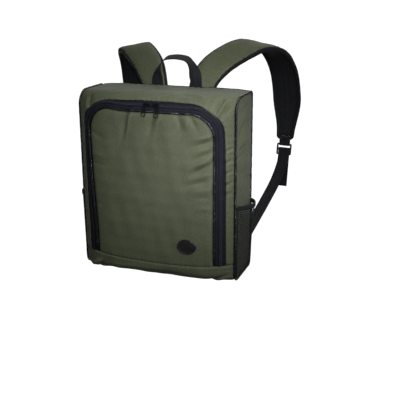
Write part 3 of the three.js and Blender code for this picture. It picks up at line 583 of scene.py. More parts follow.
# The bag's surface


def section_point(depth_shift, top, base, top_radius, base_radius, index, part):
    """y and z of one front-to-back section, by stretch number and share of the stretch."""
    front = -SIDE_DEPTH - depth_shift
    turn = part * QUARTER
    zero = 0 * part
    y = np.choose(
        index,
        [
            part * (front + base_radius),
            front + base_radius - base_radius * np.sin(turn),
            zero + front,
            front + top_radius - top_radius * np.cos(turn),
            mix(front + top_radius, 0, part),
        ],
    )
    z = np.choose(
        index,
        [
            zero + base,
            base + base_radius - base_radius * np.cos(turn),
            mix(base + base_radius, top - top_radius, part),
            top - top_radius + top_radius * np.sin(turn),
            zero + top,
        ],
    )
    return y, z


MIDDLE = (FRONT_SWELL, BAG_HEIGHT + TOP_SWELL, MIDDLE_BASE, MIDDLE_TOP_RADIUS, MIDDLE_BASE_RADIUS)
SIDE = (0, BAG_HEIGHT, BASE_LIFT, SIDE_TOP_RADIUS, SIDE_BASE_RADIUS)
BASE_ARC = MIDDLE_BASE_RADIUS * QUARTER
TOP_ARC = MIDDLE_TOP_RADIUS * QUARTER
FRONT_BASE = MIDDLE_BASE + MIDDLE_BASE_RADIUS
FRONT_TOP = BAG_HEIGHT + TOP_SWELL - MIDDLE_TOP_RADIUS
MIDDLE_DEPTH = SIDE_DEPTH + FRONT_SWELL
# Heights along the cloth where the underside, base bend, front, top bend and top start, and the end.
STARTS = np.array(
    [
        FRONT_BASE - BASE_ARC - (MIDDLE_DEPTH - MIDDLE_BASE_RADIUS),
        FRONT_BASE - BASE_ARC,
        FRONT_BASE,
        FRONT_TOP,
        FRONT_TOP + TOP_ARC,
        FRONT_TOP + TOP_ARC + MIDDLE_DEPTH - MIDDLE_TOP_RADIUS,
    ]
)
BASE_END = STARTS[0]
TOP_END = STARTS[5]


def ovals(x, height, rows):
    total = np.zeros(np.broadcast(x, height).shape)
    for row in rows:
        lean = math.radians(row.lean)
        aside = x - row.x
        above = height - row.height
        along = (above * math.cos(lean) + aside * math.sin(lean)) / row.length
        over = (aside * math.cos(lean) - above * math.sin(lean)) / row.width
        total += row.lift * np.exp(-(along**2) - over**2)
    return total


def in_millimetres(fold):
    return Crease(
        fold.across * HALF_WIDTH,
        fold.up * BAG_HEIGHT,
        fold.lean,
        fold.length * HALF_WIDTH,
        fold.width * HALF_WIDTH,
        fold.lift * FRONT_SWELL,
    )


def lifted(crease):
    """The crease at its full lift, which is larger outside the panel's width."""
    beside = abs(crease.x) > PANEL_HALF_WIDTH
    return crease._replace(lift=crease.lift * (SIDE_CREASE_LIFT if beside else CREASE_LIFT))


ALL_FOLDS = [in_millimetres(fold) for fold in MAIN_FOLDS] + [lifted(crease) for crease in CREASES]


def ripples(x, height):
    """Faint uneven waves all over the cloth."""
    random = np.random.RandomState(RIPPLE_SEED)
    total = np.zeros(np.broadcast(x, height).shape)
    for _ in range(RIPPLE_COUNT):
        length = random.uniform(*RIPPLE_LENGTHS)
        heading = random.uniform(0, math.pi)
        phase = random.uniform(0, 2 * math.pi)
        place = x * math.cos(heading) + height * math.sin(heading)
        total += RIPPLE_LIFT * np.sin(2 * math.pi * place / length + phase)
    return total


def bag_surface(x, height):
    x, height = np.broadcast_arrays(np.asarray(x, dtype=float), np.asarray(height, dtype=float))
    index = np.clip(np.searchsorted(STARTS, height, side="left") - 1, 0, 4)
    part = np.clip((height - STARTS[index]) / (STARTS[index + 1] - STARTS[index]), 0, 1)
    middle_y, middle_z = section_point(*MIDDLE, index, part)
    side_y, side_z = section_point(*SIDE, index, part)
    roll = np.abs(x / HALF_WIDTH) ** ROLL_POWER
    turn = np.choose(index, [-1 + 0 * part, part - 1, 0 * part, part, 1 + 0 * part]) * QUARTER
    lift = (ovals(x, height, ALL_FOLDS) + ripples(x, height)) * (1 - roll)
    y = mix(middle_y, side_y, roll) - lift * np.cos(turn)
    z = mix(middle_z, side_z, roll) + lift * np.sin(turn)
    return np.stack([x, y, z], -1)


def bag_normal(x, height):
    reach = 1.0
    across = bag_surface(x + reach, height) - bag_surface(x - reach, height)
    low = np.maximum(height - reach, BASE_END)
    high = np.minimum(height + reach, TOP_END)
    return unit(np.cross(across, bag_surface(x, high) - bag_surface(x, low)))


def slipped(x, height):
    """Where the worn cloth lets a place on the front slip to: the base seam sags between its ends,
    the zip's left leg leans inward towards its foot, and its corners shift a little."""
    x, height = np.broadcast_arrays(np.asarray(x, dtype=float), np.asarray(height, dtype=float))
    near_leg = bell(x + LEAN_X, LEAN_REACH) * share(HALF_WIDTH - np.abs(x), *LEAN_EDGE)
    lean = LEG_LEAN * near_leg * smoothstep(-height, -LEAN_TOP, -SEAM_HEIGHT)
    lean = lean * share(height, LEAN_FOOT, SEAM_HEIGHT)
    shift = 0 * x
    rise = 0 * x
    for slip in CORNER_SLIPS:
        near = bell(np.hypot(x - slip.x, height - slip.height), slip.reach)
        shift = shift + slip.shift * near
        rise = rise + slip.rise * near
    ends = np.where(x < 0, LEFT_RISE, RIGHT_RISE)
    sag = bell(height - SEAM_HEIGHT, SAG_REACH) * mix(-SEAM_SAG, ends, (x / HALF_WIDTH) ** 2)
    return x + lean + shift, height + sag + rise


def on_bag(x, height, lift=0.0):
    lift = np.broadcast_to(lift, np.broadcast(x, height).shape)
    x, height = slipped(x, height)
    return bag_surface(x, height) + bag_normal(x, height) * lift[..., None]


# The zip band's outlines. Their legs and corners are stepped by share of the whole way round, and
# what is left between the corners is the top.
LEG_SHARE = 7 / 34
CORNER_SHARE = 6 / 34


def band_walk(along):
    """The side of a place on the way round, and its shares of the leg, the corner and the half top."""
    from_foot = np.minimum(along, 1 - along)
    side = np.where(along > 0.5, 1.0, -1.0)
    leg = share(from_foot, 0, LEG_SHARE)
    turned = share(from_foot, LEG_SHARE, LEG_SHARE + CORNER_SHARE)
    inward = share(from_foot, LEG_SHARE + CORNER_SHARE, 0.5)
    return side, leg, turned, inward


def u_outline(along, half_width, top, corner, base):
    side, leg, turned, inward = band_walk(along)
    turn = turned * QUARTER
    height = np.where(turn <= 0, mix(base, top - corner, leg), top - corner + corner * np.sin(turn))
    x = (half_width - corner + corner * np.cos(turn)) * (1 - inward)
    return side * x, height


def band_outline(along, distance, base=BAND_BASE):
    inner_x, inner_height = u_outline(along, PANEL_HALF_WIDTH, PANEL_TOP, PANEL_CORNER, base)
    outer_x, outer_height = u_outline(along, BAND_HALF_WIDTH, PANEL_TOP + BAND_WIDTH, BAND_CORNER, base)
    part = distance / BAND_WIDTH
    return mix(inner_x, outer_x, part), mix(inner_height, outer_height, part)


SIDE_TUCK = 1.9  # how far the cloth runs on under the side piping
CLOTH_HALF_WIDTH = HALF_WIDTH - SIDE_TUCK
TOP_EDGE = TOP_SEAM - GAP / 2


def from_piping(x):
    return CLOTH_HALF_WIDTH - np.abs(x)


def border_edge(along):
    """The border's outer edge: up one side, across under the top seam and down the other."""
    side, leg, turned, inward = band_walk(along)
    leg_top = PANEL_TOP + BAND_WIDTH - BAND_CORNER
    on_corner = mix(leg_top, TOP_EDGE, share(turned, 0, 0.5))
    height = np.where(turned <= 0, mix(BAND_BASE, leg_top, leg), on_corner)
    x = mix(CLOTH_HALF_WIDTH, BAND_HALF_WIDTH - BAND_CORNER, share(turned, 0.5, 1)) * (1 - inward)
    return side * x, height


def band_steps(leg, corner, top):
    """Shares of the way round with a given count of steps in each leg, corner and half of the top."""
    half = np.concatenate(
        [
            np.linspace(0, LEG_SHARE, leg, endpoint=False),
            np.linspace(LEG_SHARE, LEG_SHARE + CORNER_SHARE, corner, endpoint=False),
            np.linspace(LEG_SHARE + CORNER_SHARE, 0.5, top, endpoint=False),
        ]
    )
    return np.concatenate([half, [0.5], 1 - half[::-1]])


def tucked(seam, distance):
    """How far cloth sinks into a seam at a distance from it."""
    depth, reach = TUCKS[seam]
    return -depth * bell(distance, reach)


def gathers(seam, distance, place):
    """Small uneven gathers along a seam, which die out away from it."""
    lift, pitch, reach = GATHERS[seam]
    phase = 2 * math.pi * place / pitch
    for drift, length in GATHER_DRIFTS:
        phase = phase + drift * np.sin(place / length)
    return GATHER_LIFT * lift * np.sin(phase) * np.exp(-distance / reach)


# Materials


# Each material's base, dark and pale colours and its finish.
Look = namedtuple(
    "Look", "base dark pale roughness specular sheen sheen_roughness metallic", defaults=(0.5, 0.0, 0.4, 0.0)
)
# For the woven cloth, tapes, piping, threads, net and air mesh, the dark and pale colours also paint shade in
# the hollows and highlight on the crowns.
LOOKS = {
    "olive_cloth": Look(
        (0.104, 0.121, 0.064), (0.078, 0.092, 0.047), (0.134, 0.153, 0.086), 0.7, 0.4, 0.06
    ),
    "black_webbing": Look(
        (0.009, 0.0095, 0.0115), (0.006, 0.0063, 0.008), (0.0125, 0.013, 0.016), 0.75, 0.3, 0.03, 0.5
    ),
    "zip_tape": Look(
        (0.008, 0.009, 0.015), (0.005, 0.0056, 0.0095), (0.0105, 0.012, 0.0195), 0.78, 0.2, 0.02, 0.5
    ),
    "spacer_mesh": Look(
        (0.012, 0.0125, 0.014), (0.004, 0.004, 0.005), (0.016, 0.017, 0.019), 0.82, 0.3, 0.04, 0.5
    ),
    "pocket_net": Look(
        (0.01, 0.011, 0.01), (0.006, 0.0065, 0.006), (0.014, 0.015, 0.013), 0.75, 0.3, 0.03, 0.5
    ),
    "zip_coil": Look((0.01, 0.0105, 0.014), (0.0055, 0.0063, 0.01), (0.0105, 0.012, 0.0185), 0.36),
    "piping": Look((0.006, 0.0062, 0.008), (0.0045, 0.0045, 0.006), (0.0095, 0.01, 0.0125), 0.22, 0.55),
    "black_metal": Look((0.014, 0.0145, 0.016), (0.013, 0.0135, 0.015), (0.2, 0.2, 0.21), 0.3, metallic=0.65),
    "patch_leather": Look((0.012, 0.0115, 0.011), (0.0085, 0.0082, 0.0078), (0.019, 0.018, 0.017), 0.42),
    "buckle_plastic": Look((0.011, 0.011, 0.012), (0.009, 0.009, 0.01), (0.015, 0.015, 0.017), 0.42),
    "olive_thread": Look((0.1, 0.108, 0.062), (0.1, 0.108, 0.062), (0.2, 0.205, 0.14), 0.6, sheen=0.1),
    "pale_thread": Look((0.13, 0.13, 0.105), (0.13, 0.13, 0.105), (0.27, 0.27, 0.23), 0.6, sheen=0.1),
    "dark_thread": Look((0.014, 0.015, 0.02), (0.014, 0.015, 0.02), (0.04, 0.042, 0.05), 0.6, sheen=0.1),
}
OLIVE_BROWN = (0.112, 0.117, 0.062)
WORN_WEBBING = (0.014, 0.0145, 0.017)
THREAD_PITCH = 0.75
SLUB_STRETCH = (0.9, 0.06, 1)


def new_material(name):
    look = LOOKS[name]
    material = bpy.data.materials.new(name)
    material.use_nodes = True
    values = {
        "Base Color": (*look.base, 1),
        "Roughness": look.roughness,
        "Metallic": look.metallic,
        "Specular IOR Level": look.specular,
        "Sheen Weight": look.sheen,
        "Sheen Roughness": look.sheen_roughness,
    }
    for key, value in values.items():
        material.node_tree.nodes["Principled BSDF"].inputs[key].default_value = value
    return material, material.node_tree


def link(tree, value, socket):
    tree.links.new(value, tree.nodes["Principled BSDF"].inputs[socket])


def add_node(tree, kind, values=None, **settings):
    made = tree.nodes.new("ShaderNode" + kind)
    for key, value in settings.items():
        setattr(made, key, value)
    for key, value in (values or {}).items():
        if isinstance(value, bpy.types.NodeSocket):
            tree.links.new(value, made.inputs[key])
        else:
            made.inputs[key].default_value = value
    return made


def calc(tree, operation, *values):
    return add_node(tree, "Math", dict(enumerate(values)), operation=operation).outputs[0]


def cloth_uv(tree):
    uv = add_node(tree, "UVMap", uv_map=CLOTH_MAP).outputs["UV"]
    parts = add_node(tree, "SeparateXYZ", {"Vector": uv})
    return uv, parts.outputs["X"], parts.outputs["Y"]


def place_noise(tree, size, detail=3.0, roughness=0.55):
    """Noise whose lumps are about a size in metres across."""
    place = add_node(tree, "TexCoord").outputs["Object"]
    values = {"Vector": place, "Scale": 1 / size, "Detail": detail, "Roughness": roughness}
    return add_node(tree, "TexNoise", values).outputs["Fac"]


def ridge(tree, place, pitch):
    """Rounded ribs, from 0 to 1, at a pitch along a coordinate."""
    return calc(tree, "ABSOLUTE", calc(tree, "SINE", calc(tree, "MULTIPLY", place, math.pi / pitch)))


def remap(tree, value, from_low, from_high, to_low=0, to_high=1):
    values = {0: value, 1: from_low, 2: from_high, 3: to_low, 4: to_high}
    return add_node(tree, "MapRange", values).outputs[0]


def blend_colour(tree, factor, first, second):
    first, second = ((*value, 1) if isinstance(value, tuple) else value for value in (first, second))
    return add_node(tree, "Mix", {0: factor, 6: first, 7: second}, data_type="RGBA").outputs[2]


def shade(tree, name, factor):
    """Turns the base colour from the material's dark to its pale one."""
    link(tree, blend_colour(tree, factor, LOOKS[name].dark, LOOKS[name].pale), "Base Color")


def bump(tree, height, strength, distance, **under):
    values = {"Height": height, "Strength": strength, "Distance": distance * MM, **under}
    return add_node(tree, "Bump", values).outputs["Normal"]


def add_bump(tree, height, strength, distance, **under):
    link(tree, bump(tree, height, strength, distance, **under), "Normal")


def olive_cloth():
    """Plain-woven polyester: two-way yarns, slubs, faint mottling and a soft sheen, with the yarn crowns
    painted paler as a painted highlight.
    """
    look = LOOKS["olive_cloth"]
    material, tree = new_material("olive_cloth")
    uv, across, along = cloth_uv(tree)
    weave = calc(tree, "MULTIPLY", ridge(tree, across, THREAD_PITCH), ridge(tree, along, THREAD_PITCH))
    slub_map = add_node(tree, "Mapping", {"Vector": uv, "Scale": SLUB_STRETCH}).outputs[0]
    slubs = add_node(tree, "TexNoise", {"Vector": slub_map, "Scale": 1.0, "Detail": 2.0}).outputs["Fac"]
    mottle = remap(tree, place_noise(tree, size=0.012, detail=4), 0.36, 0.64)
    cloud = remap(tree, place_noise(tree, size=0.07, detail=2), 0.35, 0.65, 0, 0.3)
    hue = blend_colour(tree, mottle, look.base, OLIVE_BROWN)
    clouded = blend_colour(tree, cloud, hue, look.dark)
    yarn = blend_colour(tree, remap(tree, slubs, 0.45, 0.75, 0, 0.35), clouded, look.pale)
    # painted highlight: the weave's crowns are painted paler
    highlit_yarn = blend_colour(tree, remap(tree, weave, 0.3, 1, 0, 0.22), yarn, look.pale)
    grain = remap(tree, place_noise(tree, size=0.003, detail=2, roughness=0.7), 0.4, 0.62, 0, 0.75)
    link(tree, blend_colour(tree, grain, highlit_yarn, look.dark), "Base Color")
    link(tree, remap(tree, mottle, 0, 1, 0.64, 0.78), "Roughness")
    soft = bump(tree, place_noise(tree, size=0.006), strength=0.25, distance=0.5)
    add_bump(tree, calc(tree, "ADD", weave, slubs), strength=0.5, distance=0.14, Normal=soft)
    return material


def black_webbing():
    """Ribbed tape: ribs along it, a fine twill across them, crowns painted paler as a painted highlight, and
    faint worn patches.
    """
    look = LOOKS["black_webbing"]
    material, tree = new_material("black_webbing")
    _, across, along = cloth_uv(tree)
    twill = ridge(tree, calc(tree, "MULTIPLY_ADD", across, 0.8, along), 0.9)
    woven = calc(tree, "MULTIPLY_ADD", twill, 0.5, ridge(tree, across, 1.9))
    worn = remap(tree, place_noise(tree, size=0.02, detail=4), 0.4, 0.75, 0, 0.4)
    # painted highlight and painted shade: the crowns of the ribs and twill are painted paler, their hollows
    # darker
    colour = blend_colour(tree, remap(tree, woven, 0.6, 1.5), look.dark, look.pale)
    link(tree, blend_colour(tree, worn, colour, WORN_WEBBING), "Base Color")
    add_bump(tree, woven, strength=0.7, distance=0.3)
    return material


def zip_tape():
    """Navy-black woven tape with fine herringbone lines along it, their crowns painted paler as a painted
    highlight.
    """
    material, tree = new_material("zip_tape")
    _, across, along = cloth_uv(tree)
    fine = ridge(tree, calc(tree, "ADD", along, across), 0.7)
    woven = calc(tree, "MULTIPLY_ADD", fine, 0.5, ridge(tree, across, 1.1))
    # painted highlight and painted shade: the weave's crowns are painted paler, its hollows darker
    shade(tree, "zip_tape", remap(tree, woven, 0.4, 1.4))
    add_bump(tree, woven, strength=0.6, distance=0.22)
    return material


def zip_coil():
    material, tree = new_material("zip_coil")
    uneven = place_noise(tree, size=0.004)
    link(tree, remap(tree, uneven, 0.3, 0.7, 0.38, 0.54), "Roughness")
    shade(tree, "zip_coil", uneven)
    add_bump(tree, uneven, strength=0.2, distance=0.2)
    return material


def glossy_piping():
    """Coated cord cover: a fine slanting rib and a smooth glossy coat, the rib's high places painted paler as
    a painted highlight.
    """
    material, tree = new_material("piping")
    _, girth, along = cloth_uv(tree)
    slant = ridge(tree, calc(tree, "MULTIPLY_ADD", girth, 0.55, along), 1.5)
    link(tree, remap(tree, place_noise(tree, size=0.008), 0.35, 0.65, 0.15, 0.3), "Roughness")
    # painted highlight: the rib's high places are painted paler
    shade(tree, "piping", slant)
    add_bump(tree, slant, strength=0.65, distance=0.3)
    return material


def black_metal():
    """Painted die-cast metal, with bare pale specks on its worn places."""
    material, tree = new_material("black_metal")
    wear = remap(tree, place_noise(tree, size=0.0022, detail=5, roughness=0.7), 0.6, 0.7, 0, 0.5)
    shade(tree, "black_metal", wear)
    link(tree, remap(tree, place_noise(tree, size=0.003, detail=4), 0.3, 0.7, 0.24, 0.42), "Roughness")
    add_bump(tree, place_noise(tree, size=0.0009), strength=0.15, distance=0.1)
    return material


def patch_leather():
    """Pebbled black leather, smoother and paler where it is rubbed."""
    material, tree = new_material("patch_leather")
    place = add_node(tree, "TexCoord").outputs["Object"]
    pebbles = add_node(tree, "TexVoronoi", {"Vector": place, "Scale": 900.0}, feature="F1")
    rubbed = remap(tree, place_noise(tree, size=0.009, detail=4), 0.42, 0.68)
    shade(tree, "patch_leather", rubbed)
    link(tree, remap(tree, rubbed, 0, 1, 0.46, 0.32), "Roughness")
    add_bump(tree, pebbles.outputs["Distance"], strength=-0.45, distance=0.4)
    return material


def spacer_mesh():
    """Black air mesh: a honeycomb of open cells, painted darker in their middles as painted shade in the
    hollows.
    """
    material, tree = new_material("spacer_mesh")
    uv, across, along = cloth_uv(tree)
    cells = add_node(tree, "TexVoronoi", {"Vector": uv, "Scale": 0.42, "Randomness": 0.25}, feature="F1")
    hollow = remap(tree, cells.outputs["Distance"], 0.15, 0.5)
    knit = ridge(tree, calc(tree, "ADD", across, along), 0.7)
    # painted shade: the middles of the open cells are painted darker
    shade(tree, "spacer_mesh", hollow)
    add_bump(tree, calc(tree, "MULTIPLY_ADD", knit, 0.2, hollow), strength=0.8, distance=0.7)
    return material


def twisted_yarn(name, pitch, distance):
    """Thread or net yarn with a fine twist, its crowns painted paler as a painted highlight."""
    material, tree = new_material(name)
    _, across, along = cloth_uv(tree)
    twist = ridge(tree, calc(tree, "ADD", across, along), pitch)
    # painted highlight: the twist's crowns are painted paler
    shade(tree, name, twist)
    add_bump(tree, twist, 0.5, distance)
    return material


def buckle_plastic():
    material, tree = new_material("buckle_plastic")
    rubbed = place_noise(tree, size=0.006, detail=4)
    link(tree, remap(tree, rubbed, 0.35, 0.65, 0.36, 0.52), "Roughness")
    shade(tree, "buckle_plastic", rubbed)
    add_bump(tree, place_noise(tree, size=0.0007), strength=0.3, distance=0.15)
    return material


# Body cloth


def panel_half_width(height):
    over = share(height, PANEL_TOP - PANEL_CORNER, PANEL_TOP)
    return PANEL_HALF_WIDTH - PANEL_CORNER * (1 - np.sqrt(1 - over**2))


PANEL_COLUMNS = 130
PANEL_LEG_ROWS = 130
PANEL_CORNER_ROWS = 36


def opening_panel(cloth):
    """The olive panel inside the zip, tucked down at its edges and gathered along them."""
    corner_start = PANEL_TOP - PANEL_CORNER
    on_legs = np.linspace(BAND_BASE - GAP, corner_start, PANEL_LEG_ROWS, endpoint=False)
    on_corners = corner_start + PANEL_CORNER * np.sin(np.linspace(0, QUARTER, PANEL_CORNER_ROWS))
    heights = np.concatenate([on_legs, on_corners])[:, None]
    x = np.linspace(-1, 1, PANEL_COLUMNS)[None, :] * panel_half_width(heights)
    side = panel_half_width(heights) - np.abs(x)
    above = PANEL_TOP - heights
    below = heights - BAND_BASE
    lift = tucked("zip", np.minimum(side, above)) + tucked("panel foot", below)
    lift += gathers("zip side", side, heights) + gathers("zip top", above, x)
    lift += gathers("panel foot", below, x)
    points = on_bag(x, heights + 0 * x, lift)
    uv = pairs_of(x, heights)
    sheet_piece("panel_cloth", points, uv, cloth, ["opening_panel"])


# How far the border lies over the zip's outer tape, by share of the way round from the left foot.
HEM_SHARES = (0.0, 0.1, 0.2, 0.26, 0.31, 0.37, 0.42, 0.47, 0.59, 0.63, 0.67, 0.72, 0.77, 0.85, 1.0)
HEM_OVERLAPS = (5.5, 5.0, 5.5, 7.5, 9.0, 8.5, 3.5, 0.8, 1.5, 6.5, 8.5, 8.0, 5.0, 1.5, 0.5)
HEM_STACK = 0.1
HEM_EASE = 0.025


def hem_overlap(steps):
    """The overlap at shares of the way round, eased where its table turns."""
    shifts = np.linspace(-HEM_EASE, HEM_EASE, 5)
    return np.mean([np.interp(steps + shift, HEM_SHARES, HEM_OVERLAPS) for shift in shifts], axis=0)


HEM_RISE = 0.3
HEM_REACH = 12
UPPER_STEPS = (110, 60, 70)
UPPER_COLUMNS = 15
TOP_ROWS = 64


def upper_cloth(cloth):
    """The border outside the zip and the top of the bag, in one cloth."""
    steps = band_steps(*UPPER_STEPS)[:, None]
    columns = np.linspace(0, 1, UPPER_COLUMNS)[None, :]
    overlap = hem_overlap(steps)
    inner_x, inner_height = band_outline(steps, BAND_WIDTH + GAP / 2 - overlap)
    outer_x, outer_height = border_edge(steps)
    x = mix(inner_x, outer_x, columns)
    height = mix(inner_height, outer_height, columns)
    hem = np.hypot(x - inner_x, height - inner_height)
    place = np.where(np.abs(inner_x) > PANEL_HALF_WIDTH, height, x)
    over_tape = overlap * bell(hem, HEM_REACH)
    lift = HEM_RISE * share(over_tape, 0, 2) + HEM_STACK * over_tape + gathers("hem", hem, place)
    lift += tucked("hem", hem) * share(3 - over_tape, 0, 1) + tucked("border foot", height - BAND_BASE)
    lift += tucked("piping", from_piping(x)) + gathers("piping", from_piping(x), height)
    ring = on_bag(x, height, lift)

    on_top = np.flatnonzero(outer_height[:, 0] >= TOP_EDGE - 1e-6)
    top_height = np.linspace(TOP_EDGE, TOP_END, TOP_ROWS)[1:, None]
    top_x, top_height = np.broadcast_arrays(outer_x[on_top][:, 0][None, :], top_height)
    seam = TOP_END - top_height
    lift = tucked("piping", from_piping(top_x)) + tucked("back", seam)
    lift += gathers("piping", from_piping(top_x), top_height) + gathers("back", seam, top_x)
    top = on_bag(top_x, top_height, lift)

    ring_rows, ring_cols = ring.shape[:2]
    ring_quads, _ = grid_faces(ring_rows, ring_cols)
    first_row = on_top * ring_cols + ring_cols - 1
    top_numbers = ring_rows * ring_cols + np.arange(top_x.size).reshape(top_x.shape)
    numbers = np.concatenate([first_row[None, :], top_numbers])
    top_quads = np.stack([numbers[:-1, :-1], numbers[:-1, 1:], numbers[1:, 1:], numbers[1:, :-1]], -1)
    points = np.concatenate([ring.reshape(-1, 3), top.reshape(-1, 3)])
    uv = np.concatenate([pairs_of(x, height).reshape(-1, 2), pairs_of(top_x, top_height).reshape(-1, 2)])
    faces = np.concatenate([ring_quads[:, ::-1], top_quads.reshape(-1, 4)])
    piece = new_piece("upper_cloth", points, [faces], [uv[faces]], cloth)
    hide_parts("front_border", "top_panel")
    thicken(piece, CLOTH)


BASE_ROWS = 110
BASE_COLUMNS = 170


def base_cloth(cloth):
    """The strip below the seam, which wraps under the bag."""
    heights = np.linspace(BASE_END, SEAM_HEIGHT - GAP / 2 + GAP, BASE_ROWS)[:, None]
    x = np.linspace(-CLOTH_HALF_WIDTH, CLOTH_HALF_WIDTH, BASE_COLUMNS)[None, :]
    x, height = np.broadcast_arrays(x, heights)
    seam = SEAM_HEIGHT - height
    lift = tucked("base", seam) + tucked("piping", from_piping(x))
    lift += gathers("base", seam, x) + gathers("base piping", from_piping(x), height)
    points = on_bag(x, height, lift)
    sheet_piece("base_cloth", points, pairs_of(x, height), cloth, ["base_panel"])


def side_bounds(z, inset):
    """Front and back edges of the side panel at a height, drawn in by an inset."""
    top = BAG_HEIGHT - inset
    base = BASE_LIFT + inset

    def cut(radius, depth):
        over = np.clip(1 - depth / radius, 0, 1)
        return radius * (1 - np.sqrt(1 - over**2))

    front = -SIDE_DEPTH + inset
    front = front + cut(SIDE_TOP_RADIUS - inset, top - z) + cut(SIDE_BASE_RADIUS - inset, z - base)
    back = -inset
    back = back - cut(SIDE_BACK_RADIUS - inset, top - z) - cut(SIDE_BACK_RADIUS - inset, z - base)
    return front, back


SIDE_INSET = SIDE_TUCK + 0.3
SIDE_PUFF = 1.6
SIDE_EVENNESS = 0.65
SIDE_RIPPLE = 0.35
SIDE_STRETCH = 1.4
SIDE_SHIFT = 5
SIDE_CREASE_EDGE = 8
SIDE_ROWS = 190
SIDE_COLUMNS = 60


def side_cloth(side, cloth):
    """The gusset between the two pipings, hardly stretched and gathered at its seams."""
    way = np.linspace(-1, 1, SIDE_ROWS)
    up = (np.sin(way * QUARTER) * (1 - SIDE_EVENNESS) + way * SIDE_EVENNESS + 1) / 2
    z = mix(BASE_LIFT + SIDE_INSET, BAG_HEIGHT - SIDE_INSET, up)[:, None]
    front, back = side_bounds(z, SIDE_INSET)
    across = np.linspace(0, 1, SIDE_COLUMNS)[None, :]
    y = mix(front, back, across)
    edge = np.minimum(np.minimum(y - front, back - y), np.minimum(z - z[0], z[-1] - z))
    fullness = np.sin(across * math.pi) ** 0.8 * np.sin(share(z, z[0], z[-1]) * math.pi) ** 0.4
    out = SIDE_PUFF * fullness + tucked("gusset", edge)
    out += gathers("gusset front", y - front, z) + gathers("gusset back", back - y, z + SIDE_SHIFT)
    out += SIDE_RIPPLE * ripples(y * SIDE_STRETCH, z)
    out += ovals(y + SIDE_DEPTH, z, SIDE_CREASES) * share(edge, 0, SIDE_CREASE_EDGE)
    z = np.broadcast_to(z, y.shape)
    points = np.stack([side_sign(side) * (HALF_WIDTH + SIDE_STAND + out), y, z], -1)
    uv = np.stack([y, z], -1)
    if side == "left":
        points, uv = points[:, ::-1], uv[:, ::-1]
    nodes = ["side_panel_" + side]
    sheet_piece("side_cloth_" + side, points, uv, cloth, nodes)


def side_ring(count):
    """The side panel's outline as a closed ring of (y, z), evenly spaced."""
    corners = [
        (-SIDE_BACK_RADIUS, BAG_HEIGHT - SIDE_BACK_RADIUS, SIDE_BACK_RADIUS),
        (-SIDE_DEPTH + SIDE_TOP_RADIUS, BAG_HEIGHT - SIDE_TOP_RADIUS, SIDE_TOP_RADIUS),
        (-SIDE_DEPTH + SIDE_BASE_RADIUS, BASE_LIFT + SIDE_BASE_RADIUS, SIDE_BASE_RADIUS),
        (-SIDE_BACK_RADIUS, BASE_LIFT + SIDE_BACK_RADIUS, SIDE_BACK_RADIUS),
    ]
    line = []
    for quarter, (y, z, radius) in enumerate(corners):
        angle = (quarter + np.linspace(0, 1, 24)) * QUARTER
        line.append(np.stack([y + radius * np.cos(angle), z + radius * np.sin(angle)], -1))
    line = np.concatenate(line)
    return resample(np.concatenate([line, line[:1]]), count)[:-1]


def ring_frames(points, normal):
    """Frames round a closed ring, with a fixed normal."""
    along = unit(np.roll(points, -1, axis=0) - np.roll(points, 1, axis=0))
    normals = np.broadcast_to(normal, points.shape)
    return Frames(points, along, np.cross(along, normals), normals)


PIPING_WOBBLE = 0.12
PIPING_WAVES = 37
PIPING_POINTS = 420
PIPING_SIDES = 14


def side_piping(side, material):
    """A closed ring of coated piping round the gusset, faintly uneven."""
    sign = side_sign(side)
    ring = side_ring(PIPING_POINTS)
    count = len(ring)
    points = np.stack([np.full(count, sign * HALF_WIDTH), ring[:, 0], ring[:, 1]], -1)
    frames = ring_frames(points, np.array([sign, 0, 0]))
    if side == "left":
        frames = Frames(points[::-1], -frames.along[::-1], -frames.across[::-1], frames.normal[::-1])
    radius = PIPING_RADIUS + PIPING_WOBBLE * np.sin(np.arange(count) * 2 * math.pi * PIPING_WAVES / count)
    name = "side_piping_tube_" + side
    piece = tube_piece(name, frames, radius, radius, material, PIPING_SIDES, closed=True)
    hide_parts("side_piping_" + side)


# Zip band


def band_frames(distance, lift, steps, base=BAND_BASE):
    x, height = band_outline(steps, distance, base)
    return frames_along(on_bag(x, height, lift), bag_normal(x, height), by_normal=True)


PANEL_PIPING_STEPS = (120, 90, 60)
PANEL_PIPING_END = (-1, 3)  # steps from its ends over which it reaches its full girth


def panel_piping(material):
    steps = band_steps(*PANEL_PIPING_STEPS)
    middle = GAP + PANEL_PIPING_RADIUS
    frames = band_frames(middle, PANEL_PIPING_LIFT, steps, SEAM_HEIGHT + PANEL_PIPING_STOP)
    ends = np.minimum(np.arange(len(steps)), np.arange(len(steps))[::-1])
    radius = PANEL_PIPING_RADIUS * np.sqrt(share(ends, *PANEL_PIPING_END))
    piece = tube_piece("panel_piping_tube", frames, radius, radius, material)
    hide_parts("panel_piping")


TAPE_START = 3.2
TAPE_END = BAND_WIDTH + 1.4
TAPE_COLUMNS = 26
TAPE_MIDDLE = 12
TAPE_SINK = 1.5
TAPE_CLOTH = 0.8
COIL_RISE = 0.6
COIL_REACH = 4.2
TAPE_STEPS = (110, 70, 70)
TAPE_EDGE_SINK = 0.5
TAPE_EDGE_REACH = 2
TAPE_WAVER = 0.12


def waver(place, length, drift):
    """Uneven waves from -1 to 1, whose length wanders."""
    return np.sin(place / length + 2 * np.sin(place / drift))


